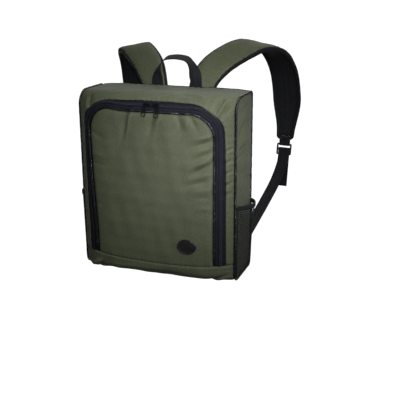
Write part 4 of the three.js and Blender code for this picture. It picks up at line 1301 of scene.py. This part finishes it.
def zip_tapes(material):
    """One woven tape under the coil, from under the piping to under the border's hem."""
    distances = np.linspace(TAPE_START, TAPE_END, TAPE_COLUMNS)[None, :]
    x, height = band_outline(band_steps(*TAPE_STEPS)[:, None], distances)
    rise = bell(distances - COIL_OFFSET, COIL_REACH)
    lift = -TAPE_SINK + COIL_RISE * rise - TAPE_EDGE_SINK * bell(distances - BAND_WIDTH, TAPE_EDGE_REACH)
    place = np.where(np.abs(x) > PANEL_HALF_WIDTH, height, x)
    lift = lift + TAPE_WAVER * waver(place, 5.2, 31) * (1 - rise)
    points = on_bag(x, height, lift)
    middle = points[:, TAPE_MIDDLE]
    uv = pairs_of(distances, lengths_along(middle)[:, None])
    nodes = ["zip_tape_inner", "zip_tape_outer"]
    points, uv = points[:, ::-1], uv[:, ::-1]
    sheet_piece("zip_tapes", points, uv, material, nodes, thickness=TAPE_CLOTH)


TOOTH = (3.3, 1.25, 1.7)
TOOTH_STEPS = (220, 160, 140)
TOOTH_OFFSET = 1.35
TOOTH_LEAN = 0.22
TOOTH_LIFT = 0.05
COIL_EDGE_OFFSET = 2.9
COIL_EDGE_LIFT = -0.2
COIL_EDGE = (0.55, 0.45)


def zip_teeth(material):
    """The coil's visible loops: short rounded bars that interlock from both sides of a centre cord."""
    steps = band_steps(*TOOTH_STEPS)
    rows = []
    for side, shift in ((-1, 0.0), (1, COIL_PITCH / 2)):
        frames = band_frames(COIL_OFFSET + side * TOOTH_OFFSET, TOOTH_LIFT, steps)
        middles, along, normal = spaced(frames.origin, frames.normal, COIL_PITCH, shift)
        lean = unit(np.cross(along, normal) + along * (TOOTH_LEAN * side))
        rows.append((middles, lean, normal))
    middles, lean, normal = (np.concatenate(parts) for parts in zip(*rows))
    piece = blocks_piece("zip_teeth", middles, lean, normal, TOOTH, material)
    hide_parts("zip_coil")
    for side, edge in ((-1, "inner"), (1, "outer")):
        frames = band_frames(COIL_OFFSET + side * COIL_EDGE_OFFSET, COIL_EDGE_LIFT, band_steps(*TAPE_STEPS))
        tube_piece("coil_edge_" + edge, frames, *COIL_EDGE, material, 6)


Stitch = namedtuple("Stitch", "pitch size")
BAND_STITCH = Stitch(3.4, (2.5, 0.75, 0.6))
BASE_STITCH = Stitch(3.2, (2.4, 0.5, 0.45))
PATCH_STITCH = Stitch(2.6, (1.9, 0.5, 0.4))
NET_STITCH = Stitch(3.6, (2.0, 0.7, 0.5))


def stitch_row(name, line, normals, material, stitch):
    middles, along, normal = spaced(line, normals, stitch.pitch)
    blocks_piece(name, middles, along, normal, stitch.size, material, 5)


BAND_STITCH_STEPS = (150, 90, 90)
HEM_STITCH_OFFSET = 3.4
HEM_STITCH_LIFT = 0.4
TAPE_STITCH_OFFSET = -6.6
TAPE_STITCH_LIFT = -1.35


def band_stitches(name, distance, lift, material):
    frames = band_frames(distance, lift, band_steps(*BAND_STITCH_STEPS))
    stitch_row(name, frames.origin, frames.normal, material, BAND_STITCH)


def zip_stitches(hem_thread, tape_thread):
    overlap = hem_overlap(band_steps(*BAND_STITCH_STEPS))
    distance = BAND_WIDTH + HEM_STITCH_OFFSET - overlap
    lift = HEM_STITCH_LIFT + HEM_STACK * overlap
    band_stitches("zip_hem_stitches", distance, lift, hem_thread)
    distance = COIL_OFFSET + TAPE_STITCH_OFFSET
    band_stitches("zip_tape_stitches", distance, TAPE_STITCH_LIFT, tape_thread)


BASE_STITCH_BELOW = 2.6
BASE_STITCH_INSET = 3
BASE_STITCH_LIFT = 0.1
BASE_STITCH_POINTS = 400


def base_stitches(material):
    reach = CLOTH_HALF_WIDTH - BASE_STITCH_INSET
    x = np.linspace(-reach, reach, BASE_STITCH_POINTS)
    height = np.full_like(x, SEAM_HEIGHT - BASE_STITCH_BELOW)
    lift = gathers("base", SEAM_HEIGHT - height, x) + BASE_STITCH_LIFT
    line = on_bag(x, height, lift)
    stitch_row("base_stitches", line, bag_normal(x, height), material, BASE_STITCH)


# Patch

PATCH_LIFT = 1.4
PATCH_STITCHES = 0.8
PATCH_STITCH_POINTS = 160
PATCH_STITCH_SINK = 0.1
PATCH_GRID = (26, 96)
PATCH_START = 0.02
PATCH_PUFF = 0.25
PATCH_EDGE = 0.95
PatchRing = namedtuple("PatchRing", "lift place reach")
PATCH_RINGS = [PatchRing(0.5, 0.9, 0.05), PatchRing(-0.35, 0.78, 0.03)]


def oval(part, angle):
    """x and height on the patch, at a share of the way out."""
    x = PATCH_X + part * np.cos(angle) * PATCH_WIDTH / 2
    return x, PATCH_Z + part * np.sin(angle) * PATCH_HEIGHT / 2


def patch(material):
    """A bare oval patch with a raised rim, a stitched groove and a slightly puffed middle."""
    rings, count = PATCH_GRID
    part = np.linspace(PATCH_START, 1, rings)[:, None]
    x, height = oval(part, np.linspace(0, 2 * math.pi, count, endpoint=False)[None, :])
    rim = sum(ring.lift * bell(part - ring.place, ring.reach) for ring in PATCH_RINGS)
    lift = PATCH_LIFT + rim + PATCH_PUFF * (1 - part**2) - PATCH_LIFT * share(part, PATCH_EDGE, 1) ** 2
    points = on_bag(x, height, lift + 0 * x).reshape(-1, 3)
    quads, _ = grid_faces(rings, count, False, True)
    uv = pairs_of(x, height).reshape(-1, 2)
    faces = [quads[:, ::-1], np.arange(count)[None, :]]
    face_uvs = [uv[group] for group in faces]
    piece = new_piece("patch_oval", points, faces, face_uvs, material)
    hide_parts("patch")


def patch_stitches(material):
    x, height = oval(PATCH_STITCHES, np.linspace(0, 2 * math.pi, PATCH_STITCH_POINTS))
    line = on_bag(x, height, PATCH_LIFT - PATCH_STITCH_SINK)
    stitch_row("patch_stitches", line, bag_normal(x, height), material, PATCH_STITCH)


# Side pockets


def pocket_base(y):
    front = SIDE_BASE_RADIUS - PIPING_RADIUS - GAP
    back = SIDE_BACK_RADIUS - PIPING_RADIUS - GAP
    from_front = np.maximum(front - (y - POCKET_FRONT), 0)
    from_back = np.maximum(back - (POCKET_BACK - y), 0)
    lift_front = front - np.sqrt(np.maximum(front**2 - from_front**2, 0))
    lift_back = back - np.sqrt(np.maximum(back**2 - from_back**2, 0))
    return BASE_LIFT + PIPING_RADIUS + GAP + lift_front + lift_back


def pocket_mouth(y):
    return mix(POCKET_MOUTH_FRONT, POCKET_MOUTH_BACK, share(y, POCKET_FRONT, POCKET_BACK))


def pocket_place(side, y, z, lift=0.0):
    """A place on the pocket's outer side, lifted along x."""
    across = share(y, POCKET_FRONT, POCKET_BACK)
    low = pocket_base(y)
    up = share(z, low, pocket_mouth(y))
    fill = np.sqrt(np.clip((z - low) / POCKET_BASE_RISE, 0, 1))
    stand = POCKET_BULGE * mix(POCKET_FOOT, 1, up) * fill * np.sin(across * math.pi) ** POCKET_ROUNDNESS
    sag = POCKET_SAG * np.sin(z / POCKET_SAG_UP + y / POCKET_SAG_ALONG) * np.sin(across * math.pi)
    x = side_sign(side) * (POCKET_SEAT + stand + sag + lift)
    return np.stack(np.broadcast_arrays(x, y, z), -1)


GIRTH_HEIGHT = 110.0
GIRTH_POINTS = 400


def even_across(count):
    """y values that lie evenly along the pocket's girth, with the girth's length."""
    y = np.linspace(POCKET_FRONT, POCKET_BACK, GIRTH_POINTS)
    line = pocket_place("right", y, np.full_like(y, GIRTH_HEIGHT))
    covered = lengths_along(line)
    return np.interp(np.linspace(0, covered[-1], count), covered, y), covered[-1]


def pocket_net(side, material):
    """Knitted net: a honeycomb of flat strands, from the seams up to the elastic mouth."""
    _, girth = even_across(2)
    tall = POCKET_MOUTH_FRONT - ELASTIC_HEIGHT - BASE_LIFT - PIPING_RADIUS
    edge = NET_CELL / math.sqrt(3)
    columns = int(round(girth / (NET_CELL / 2)))
    rows = int(round(tall / (1.5 * edge)))
    y_line, _ = even_across(columns + 1)
    i = np.arange(columns + 1)[None, :]
    j = np.arange(rows + 1)[:, None]
    up = (j + np.where((i + j) % 2 == 0, 1 / 3, 0)) / (rows + 1 / 3)
    y = np.broadcast_to(y_line[None, :], up.shape)
    low = pocket_base(y)
    high = pocket_mouth(y) - ELASTIC_HEIGHT + 1
    z = mix(low, high, up)
    points = pocket_place(side, y, z, NET_HEIGHT)
    reach = 0.5
    normal = np.cross(
        pocket_place(side, y + reach, z) - pocket_place(side, y - reach, z),
        pocket_place(side, y, z + reach) - pocket_place(side, y, z - reach),
    )
    normal = unit(normal) * side_sign(side)
    numbers = np.arange(points.shape[0] * points.shape[1]).reshape(up.shape)
    risers = (i + j)[:-1] % 2 == 0
    pairs = np.concatenate(
        [
            np.stack([numbers[:, :-1].ravel(), numbers[:, 1:].ravel()], -1),
            np.stack([numbers[:-1][risers], numbers[1:][risers]], -1),
        ]
    )
    piece = strands("net_" + side, points.reshape(-1, 3), normal.reshape(-1, 3), pairs, material)
    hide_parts("pocket_net_" + side)


def strands(name, points, normals, pairs, material):
    start, end = points[pairs[:, 0]], points[pairs[:, 1]]
    along = unit(end - start)
    start = start - along * NET_STRAND * 0.25
    end = end + along * NET_STRAND * 0.25
    normal = unit(normals[pairs[:, 0]] + normals[pairs[:, 1]])
    across = unit(np.cross(along, normal))
    ring = [(1, 0), (0, 1), (-1, 0), (0, -1)]
    corners = [
        place + across * (a * NET_STRAND / 2) + normal * (b * NET_HEIGHT / 2)
        for place in (start, end)
        for a, b in ring
    ]
    flat = np.stack(corners, 1).reshape(-1, 3)
    sides = [[k, (k + 1) % 4, (k + 1) % 4 + 4, k + 4] for k in range(4)]
    quads = np.array([*sides, [3, 2, 1, 0], [4, 5, 6, 7]])
    quads = (quads[None] + (np.arange(len(pairs)) * 8)[:, None, None]).reshape(-1, 4)
    return new_piece(name, flat, [quads], [flat[quads][..., [1, 2]]], material)


ELASTIC_POINTS = 220
ELASTIC_LIFT = 1.1
ELASTIC_HALF = 1.15
ELASTIC_GATHER = 0.45
ELASTIC_WAVE = 7.5
ELASTIC_EASE = 14


def pocket_elastic(side, material):
    """The gathered elastic band round the mouth."""
    y, _ = even_across(ELASTIC_POINTS)
    number = np.arange(ELASTIC_POINTS)
    gather = ELASTIC_GATHER * np.sin(number * 2 * math.pi / ELASTIC_WAVE + np.sin(number / 9))
    gather = gather * share(np.minimum(number, number[::-1]), 0, ELASTIC_EASE)
    middle = pocket_place(side, y, pocket_mouth(y) - ELASTIC_HEIGHT / 2, ELASTIC_LIFT)
    middle[:, 0] += side_sign(side) * gather
    frames = frames_along(middle, np.array([0.0, 0.0, 1.0]))
    high = ELASTIC_HALF + 0.2 * np.abs(gather)
    piece = tube_piece("elastic_" + side, frames, ELASTIC_HEIGHT / 2, high, material, 16, 4.0)
    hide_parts("pocket_elastic_" + side)


HEM_INSET = 2.6
HEM_LIFT = 0.7
HEM_FOOT_LIFT = 0.9
HEM_HALF = (2.5, 0.55)
HEM_POINTS = 240
YARN_LIFT = 0.65
HEM_TURN = 6
HEM_FOOT_TURN = 3
HEM_COUNTS = (70, 60, 90)  # points of its sides, of its foot and of its rough line


def pocket_hem(side, tape, yarn):
    """Tape that holds the net's sides and foot in the seam, with its row of pale stitches."""
    on_side, on_foot, rough = HEM_COUNTS
    front_z = np.linspace(POCKET_MOUTH_FRONT, BASE_LIFT + SIDE_BASE_RADIUS + HEM_TURN, on_side)
    back_z = np.linspace(BASE_LIFT + SIDE_BACK_RADIUS + HEM_TURN, POCKET_MOUTH_BACK, on_side)
    turn = HEM_INSET + HEM_FOOT_TURN
    foot_y = np.linspace(POCKET_FRONT + turn, POCKET_BACK - turn, on_foot)
    line = np.concatenate(
        [
            pocket_place(side, np.full_like(front_z, POCKET_FRONT + HEM_INSET), front_z, HEM_LIFT),
            pocket_place(side, foot_y, pocket_base(foot_y) + HEM_INSET, HEM_FOOT_LIFT),
            pocket_place(side, np.full_like(back_z, POCKET_BACK - HEM_INSET), back_z, HEM_LIFT),
        ]
    )
    line = resample(smooth_curve(resample(line, rough), 4), HEM_POINTS)
    out = np.array([side_sign(side), 0.0, 0.0])
    frames = frames_along(line, out, by_normal=True)
    tube_piece("pocket_hem_" + side, frames, *HEM_HALF, tape, 12, 4.0)
    on_tape = line + YARN_LIFT * out
    stitch_row("pocket_stitches_" + side, on_tape, frames.normal, yarn, NET_STITCH)


# Shoulder straps

ROOT_Y = BACK_FACE + GAP + LOOP_THICKNESS + 4 * GAP + STRAP_FACE + STRAP_PAD / 2


def strap_frames(side):
    """Frames down the strap on the right, for the side's rise. The left one is mirrored later."""
    rise = STRAP_RISE[side]
    route = [
        (
            mix(STRAP_ROOT_X, CHEST_X, p.out),
            ROOT_Y + CHEST_DEPTH * p.forward,
            BAG_HEIGHT * (1 - p.drop) + rise * p.rise,
        )
        for p in STRAP_ROUTE
    ]
    points = resample(smooth_curve(route), STRAP_ROWS)
    return frames_along(points, np.array([1.0, 0.0, -STRAP_TILT]))


def strap_half_width(along):
    width = np.zeros_like(along)
    for here, following in zip(STRAP_TAPER[:-1], STRAP_TAPER[1:]):
        part = smoothstep(along, here.along, following.along)
        inside = (along >= here.along) & (along <= following.along)
        width = np.where(inside, mix(here.width, following.width, part), width)
    return width * STRAP_WIDTH / 2


def mirrored(frames, side):
    """The same frames on the other side, still right-handed."""
    if side == "right":
        return frames
    flip = np.array([-1.0, 1.0, 1.0])
    return Frames(frames.origin * flip, frames.along * flip, -frames.across * flip, frames.normal * flip)


STRAP_ROUNDNESS = 3.2
STRAP_INNER_GATHERS = 0.55
STRAP_COLUMNS = 41
STRAP_RIPPLE = 0.4


def strap_face(side, frames, cloth):
    """The olive face, puffed between its bindings and gathered beside them."""
    along = np.linspace(0, 1, STRAP_ROWS + 1)[:, None]
    across = np.linspace(-1, 1, STRAP_COLUMNS)[None, :]
    half = strap_half_width(along) - BINDING_WIDTH / 2
    length = lengths_along(frames.origin)[:, None]
    edge = (1 - np.abs(across)) * half
    outer = np.where(across * side_sign(side) > 0, 1.0, STRAP_INNER_GATHERS)
    lift = STRAP_PAD / 2 + GAP + STRAP_FACE - STRAP_CROWN * np.abs(across) ** STRAP_ROUNDNESS
    lift = lift + gathers("strap", edge, length + 9 * across) * outer
    lift = lift + STRAP_RIPPLE * np.sin(length / 17 + 3 * across) * (1 - across**2)
    points = off_frames(frames, across * half, lift + tucked("strap", edge))
    uv = pairs_of(across * half, -length)[:, ::-1]
    nodes = ["strap_face_" + side]
    sheet_piece("strap_cloth_" + side, points[:, ::-1], uv, cloth, nodes)


PAD_OVERLAP = 1.2
PAD_SPARE = 0.2
PAD_SIDES = 36


def strap_pad(side, frames, mesh):
    """The padding's soft underside in spacer mesh, a closed crowned form."""
    number = np.arange(STRAP_ROWS + 1)
    half = strap_half_width(np.linspace(0, 1, len(number))) - BINDING_WIDTH + PAD_OVERLAP
    high = (STRAP_PAD / 2 + PAD_SPARE) * np.sqrt(share(np.minimum(number, number[::-1]), -0.6, 3.0))
    piece = tube_piece("strap_padding_" + side, frames, half, high, mesh, PAD_SIDES, STRAP_ROUNDNESS)
    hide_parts("strap_pad_" + side)


PUCKER = 0.16
BINDING_TURN = (8, 82, 9)  # first and last angle round a lower corner, and count of points
BINDING_ROUND = (0.9, 0.3)  # how far past its half width and height the folded tape bulges


def strap_binding(side, frames, tape):
    """Folded binding down both edges and round the lower end."""
    inset = strap_half_width(np.linspace(0, 1, STRAP_ROWS + 1)) - BINDING_WIDTH / 2
    last = STRAP_ROWS
    middle = inset[-1] - BINDING_WIDTH
    drop = 3 * GAP - BINDING_WIDTH / 2
    turn = np.radians(np.linspace(*BINDING_TURN))

    def line_at(aside, below, row=None):
        return at(frames, aside, below, np.full_like(aside, -STRAP_FACE / 2), row=row)

    def corner(way, angles):
        aside = way * (middle + BINDING_WIDTH * np.cos(angles))
        return line_at(aside, drop + BINDING_WIDTH * np.sin(angles), row=last)

    outer, inner = (line_at(way * inset, 0)[:-1] for way in (1, -1))
    line = np.concatenate([outer, corner(1, turn), corner(-1, turn[::-1]), inner[::-1]])
    nearest = np.concatenate([np.arange(last), np.full(2 * len(turn), last), np.arange(last)[::-1]])
    tube = frames_along(line, frames.normal[nearest], by_normal=True)
    pucker = PUCKER * waver(lengths_along(line), 4.3, 17)
    wide = BINDING_WIDTH / 2 + BINDING_ROUND[0] + 0.3 * pucker
    high = BINDING_HEIGHT / 2 + BINDING_ROUND[1] + pucker
    piece = tube_piece("strap_edge_" + side, tube, wide, high, tape, 16, 2.8)
    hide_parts("strap_binding_" + side)


RIBBON_SIDES = 28
RIBBON_POWER = 5.0


def ribbon(name, node, frames, size, tape):
    """Webbing along frames, by its width and thickness, in place of a node."""
    width, thickness = size
    piece = tube_piece(name, frames, width / 2, thickness / 2, tape, RIBBON_SIDES, RIBBON_POWER)
    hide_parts(node)


def finer(points, guides, fine=6):
    """A smooth line through coarse points, with guides blended between them."""
    line = smooth_curve(points, fine)
    steps = np.linspace(0, len(points) - 1, len(line))
    return frames_along(line, between(steps, np.arange(len(points)), guides))


BAR_PITCH = BUCKLE_BAR + BUCKLE_SLOT
BAR_TURN_Y = BUCKLE_BAR / 2 + WEBBING_CLEARANCE + WEBBING / 2
BAR_TURN_Z = BUCKLE_THICKNESS / 2 + WEBBING_CLEARANCE + WEBBING / 2
BarTurn = namedtuple("BarTurn", "out lift")
BAR_TURN = [BarTurn(0.62, -1), BarTurn(1, -0.5), BarTurn(1, 0.5), BarTurn(0.62, 1)]


def buckle_frame(frames):
    origin = at(frames, 0.0, GAP + BINDING_WIDTH + BUCKLE_BELOW_PAD, -STRAP_FACE / 2, row=STRAP_ROWS)
    return Frames(origin, *(part[STRAP_ROWS] for part in frames[1:]))


def around_bar(frame, bar_y, way):
    return [at(frame, 0.0, bar_y + way * BAR_TURN_Y * p.out, BAR_TURN_Z * p.lift) for p in BAR_TURN]


TAB_TUCK = 2


def buckle_tab(side, frame, tape):
    """The fold of webbing that holds the buckle to the strap's end."""
    rise = -BUCKLE_BELOW_PAD + GAP - TAB_TUCK
    under = [at(frame, 0.0, place, -BAR_TURN_Z) for place in (rise, rise / 2)]
    over = [at(frame, 0.0, place, BAR_TURN_Z) for place in (rise / 2, rise)]
    points = np.array([*under, *around_bar(frame, 0, 1), *over])
    line = mirrored(finer(points, np.broadcast_to(frame.across, points.shape)), side)
    size = (WEBBING_WIDTH - 1, WEBBING)
    ribbon("buckle_fold_" + side, "buckle_tab_" + side, line, size, tape)


TAIL_STEPS = (0, 0.3, 0.65, 1)


def lower_webbing(side, frame, tape):
    """Webbing from the bag's foot, through the buckle and back down as a short free tail."""
    foot = np.array([ANCHOR_X, BACK_FACE + GAP + WEBBING / 2, BAG_HEIGHT * ANCHOR_FOOT])
    arrive = at(frame, 0.0, 3 * BAR_PITCH, -BAR_TURN_Z)
    route = [mix(foot, arrive, np.array([p.out, p.forward, p.up])) for p in WEBBING_ROUTE]
    route += [arrive, at(frame, 0.0, 1.9 * BAR_PITCH, -BAR_TURN_Z)]
    start = resample(smooth_curve(route), WEBBING_ROWS)
    tail = [
        at(frame, 0.0, 2 * BAR_PITCH + TAIL_LENGTH * p, BAR_TURN_Z + TAIL_LIFT * p) for p in TAIL_STEPS
    ]
    points = np.array([*start, *around_bar(frame, BAR_PITCH, -1), *tail])
    guides = np.broadcast_to(frame.across, points.shape).copy()
    guides[:WEBBING_ROWS] = (1.0, 0.0, 0.0)
    line = mirrored(finer(points, guides), side)
    size = (WEBBING_WIDTH, WEBBING)
    node = "lower_webbing_" + side
    ribbon("adjuster_webbing_" + side, node, line, size, tape)


def carrying_loop(tape):
    y = BACK_FACE + GAP + LOOP_THICKNESS / 2
    half = [(LOOP_ROOT_X * p.out, y, BAG_HEIGHT + LOOP_RISE * p.rise) for p in LOOP_ROUTE]
    half = [(LOOP_ROOT_X, y, BAG_HEIGHT - LOOP_FOOT), *half]
    route = [(-x, y, z) for x, y, z in half] + half[::-1]
    points = resample(smooth_curve(route), LOOP_ROWS)
    up = share(points[:, 2], BAG_HEIGHT + 2 * TOP_SWELL, BAG_HEIGHT + LOOP_RISE)
    turn = smoothstep(up, 0, LOOP_TURNED) * QUARTER
    way = np.where(points[:, 0] < 0, 1.0, -1.0)
    guide = np.stack([way * np.cos(turn), -np.sin(turn), -LOOP_TILT * np.sin(turn)], -1)
    frames = frames_along(points, guide)
    size = (LOOP_WIDTH, LOOP_THICKNESS)
    ribbon("grab_loop", "carrying_loop", frames, size, tape)


# Back panel


PAD_SLOPE = 7
CHANNEL_REACH = 9
CHANNEL_DEPTH = 4.2
QUILTS = (95, 187, 279)
QUILT_REACH = 3.2
QUILT_DEPTH = 2.2
PAD_EDGE = 1.2
PAD_BASE = 1.6
PAD_GRID = (150, 150)
CHANNEL_FOOT = (40, 60)
CHANNEL_TOP = 50
CHANNEL_FADE = 20
QUILT_EDGE = (14, 30)


def back_padding(mesh):
    """Padded back panel: two long cushions with a channel between them and sewn edges."""
    rows, columns = PAD_GRID
    x = np.linspace(-CLOTH_HALF_WIDTH, CLOTH_HALF_WIDTH, columns)[None, :]
    low = bag_surface(x, BASE_END)[..., 2]
    high = bag_surface(x, TOP_END)[..., 2]
    z = mix(low, high, np.linspace(0, 1, rows)[:, None])
    x = np.broadcast_to(x, z.shape)
    edge = np.minimum(from_piping(x), np.minimum(z - low, high - z))
    puff = 1 - np.exp(-edge / PAD_SLOPE)
    channel = bell(x, CHANNEL_REACH) * share(z, *CHANNEL_FOOT)
    channel = channel * share(BAG_HEIGHT - CHANNEL_TOP - z, 0, CHANNEL_FADE)
    quilting = sum(bell(z - place, QUILT_REACH) for place in QUILTS) * share(edge, *QUILT_EDGE)
    y = GAP / 2 + PAD_BASE + (BACK_PAD - 2.0) * puff - CHANNEL_DEPTH * channel
    y = y - QUILT_DEPTH * quilting * (1 - channel)
    front = np.stack([x, np.full_like(x, GAP / 2), z], -1)
    back = np.stack([x, y, z], -1)
    back[edge <= 1e-6, 1] = GAP / 2 + PAD_EDGE
    count = rows * columns
    back_quads, back_uv = grid_faces(rows, columns)
    front_quads, front_uv = grid_faces(rows, columns, start=count)
    uv = np.stack([x, z], -1).reshape(-1, 2)
    numbers = np.arange(count).reshape(rows, columns)
    rim = np.concatenate([numbers[0, :-1], numbers[:-1, -1], numbers[-1, :0:-1], numbers[:0:-1, 0]])
    following = np.roll(rim, -1)
    wall = np.stack([rim, following, following + count, rim + count], -1)
    piece = new_piece(
        "back_padding",
        np.concatenate([back.reshape(-1, 3), front.reshape(-1, 3)]),
        [back_quads[:, ::-1], front_quads, wall],
        [uv[back_uv[:, ::-1]], uv[front_uv], uv[wall % count]],
        mesh,
    )
    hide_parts("back_panel")


# Carried-over nodes


def dress_node(name, material, bevel):
    node = frame["nodes"][name]
    node.data.materials.clear()
    node.data.materials.append(material)
    edge = node.modifiers.new("soft edges", "BEVEL")
    edge.width = bevel * MM
    edge.segments = 2
    edge.limit_method = "ANGLE"


# Stage

CAMERA_PLACE = (0.567, -1.5147, 0.15918)
CAMERA_RIGHT = Vector((0.9397, 0.3419, -0.0053))
CAMERA_UP = Vector((-0.0965, 0.2801, 0.9551))
CAMERA_BACK = Vector((0.3281, -0.8970, 0.2962))
CAMERA_LENS = 66.11
BACKDROP_LIGHT = 1.1
ROOM_LIGHT = 0.08
BACKDROP_SPREAD = (0.72, 0.9)  # cosines of the angle off its middle, where it starts and is full


def camera():
    data = bpy.data.cameras.new("camera")
    data.lens = CAMERA_LENS
    data.clip_end = 60
    piece = bpy.data.objects.new("camera", data)
    turn = Matrix((CAMERA_RIGHT, CAMERA_UP, CAMERA_BACK)).transposed()
    piece.matrix_world = Matrix.Translation(CAMERA_PLACE) @ turn.to_4x4()
    bpy.context.scene.collection.objects.link(piece)
    bpy.context.scene.camera = piece


def hang_light(data, name, place, target, power):
    data.energy = power
    piece = bpy.data.objects.new(name, data)
    piece.location = place
    piece.rotation_euler = (Vector(target) - Vector(place)).to_track_quat("-Z", "Y").to_euler()
    bpy.context.scene.collection.objects.link(piece)
    return piece


def area_light(name, place, size, power):
    data = bpy.data.lights.new(name, "AREA")
    data.shape = "DISK"
    data.size = size
    return hang_light(data, name, place, LIGHT_MIDDLE, power)


def spot_light(name, place, target, spread, power):
    data = bpy.data.lights.new(name, "SPOT")
    data.spot_size = math.radians(spread)
    data.spot_blend = 1.0
    data.shadow_soft_size = SPOT_RADIUS
    data.color = SPOT_COLOUR
    return hang_light(data, name, place, target, power)


def white_backdrop():
    """A plain room whose bright white wall lies behind the bag."""
    world = bpy.data.worlds.new("studio")
    world.use_nodes = True
    tree = world.node_tree
    way = add_node(tree, "TexCoord").outputs["Generated"]
    values = {0: way, 1: tuple(-CAMERA_BACK)}
    toward = add_node(tree, "VectorMath", values, operation="DOT_PRODUCT").outputs["Value"]
    strength = remap(tree, toward, *BACKDROP_SPREAD, ROOM_LIGHT, BACKDROP_LIGHT)
    background = tree.nodes["Background"]
    background.inputs["Color"].default_value = (1, 1, 1, 1)
    tree.links.new(strength, background.inputs["Strength"])
    bpy.context.scene.world = world


LightPlace = namedtuple("LightPlace", "name place size power")
LIGHTS = [
    LightPlace("far right", (2.0, -0.5, 1.2), 1.5, 11),
    LightPlace("behind", (0.0, 1.45, 1.7), 1.5, 15),
    LightPlace("near right", (0.35, -0.75, 0.4), 0.4, 2.3),
]
SpotPlace = namedtuple("SpotPlace", "name place target spread power")
SPOTS = [
    SpotPlace("flap spot", (0.9, -2.1, 0.3), (0.09, -0.25, -0.14), 12, 145),
    SpotPlace("raking spot", (0.9, -0.95, 1.2), (0.09, -0.25, -0.2), 12, 80),
]
SPOT_RADIUS = 0.15
SPOT_COLOUR = (0.98, 1.0, 1.15)  # a cool daylight, as on the bright parts of the cloth
LIGHT_MIDDLE = Vector((0.0, -0.15, -0.2))


def studio():
    for light in LIGHTS:
        area_light(*light)
    for spot in SPOTS:
        spot_light(*spot)
    white_backdrop()
    bpy.context.scene.view_settings.view_transform = "Standard"


camera()
studio()

OLIVE_CLOTH = olive_cloth()
WEBBING_TAPE = black_webbing()
PIPING_COVER = glossy_piping()
SPACER = spacer_mesh()
NET_YARN = twisted_yarn("pocket_net", 0.5, 0.15)
OLIVE_THREAD = twisted_yarn("olive_thread", 0.4, 0.1)
PALE_THREAD = twisted_yarn("pale_thread", 0.4, 0.1)
DARK_THREAD = twisted_yarn("dark_thread", 0.4, 0.1)
METAL = black_metal()
BUCKLE = buckle_plastic()

opening_panel(OLIVE_CLOTH)
upper_cloth(OLIVE_CLOTH)
base_cloth(OLIVE_CLOTH)
panel_piping(PIPING_COVER)
zip_tapes(zip_tape())
zip_teeth(zip_coil())
zip_stitches(OLIVE_THREAD, DARK_THREAD)
base_stitches(PALE_THREAD)
patch(patch_leather())
patch_stitches(DARK_THREAD)
back_padding(SPACER)
carrying_loop(WEBBING_TAPE)
for side in ("right", "left"):
    side_cloth(side, OLIVE_CLOTH)
    side_piping(side, PIPING_COVER)
    pocket_net(side, NET_YARN)
    pocket_elastic(side, WEBBING_TAPE)
    pocket_hem(side, WEBBING_TAPE, PALE_THREAD)
    route = strap_frames(side)
    here = mirrored(route, side)
    strap_face(side, here, OLIVE_CLOTH)
    strap_pad(side, here, SPACER)
    strap_binding(side, here, WEBBING_TAPE)
    holder = buckle_frame(route)
    buckle_tab(side, holder, WEBBING_TAPE)
    lower_webbing(side, holder, WEBBING_TAPE)
    dress_node("buckle_" + side, BUCKLE, 0.5)
    dress_node("zip_slider_" + side, METAL, 0.25)
    dress_node("zip_pull_" + side, METAL, 0.25)
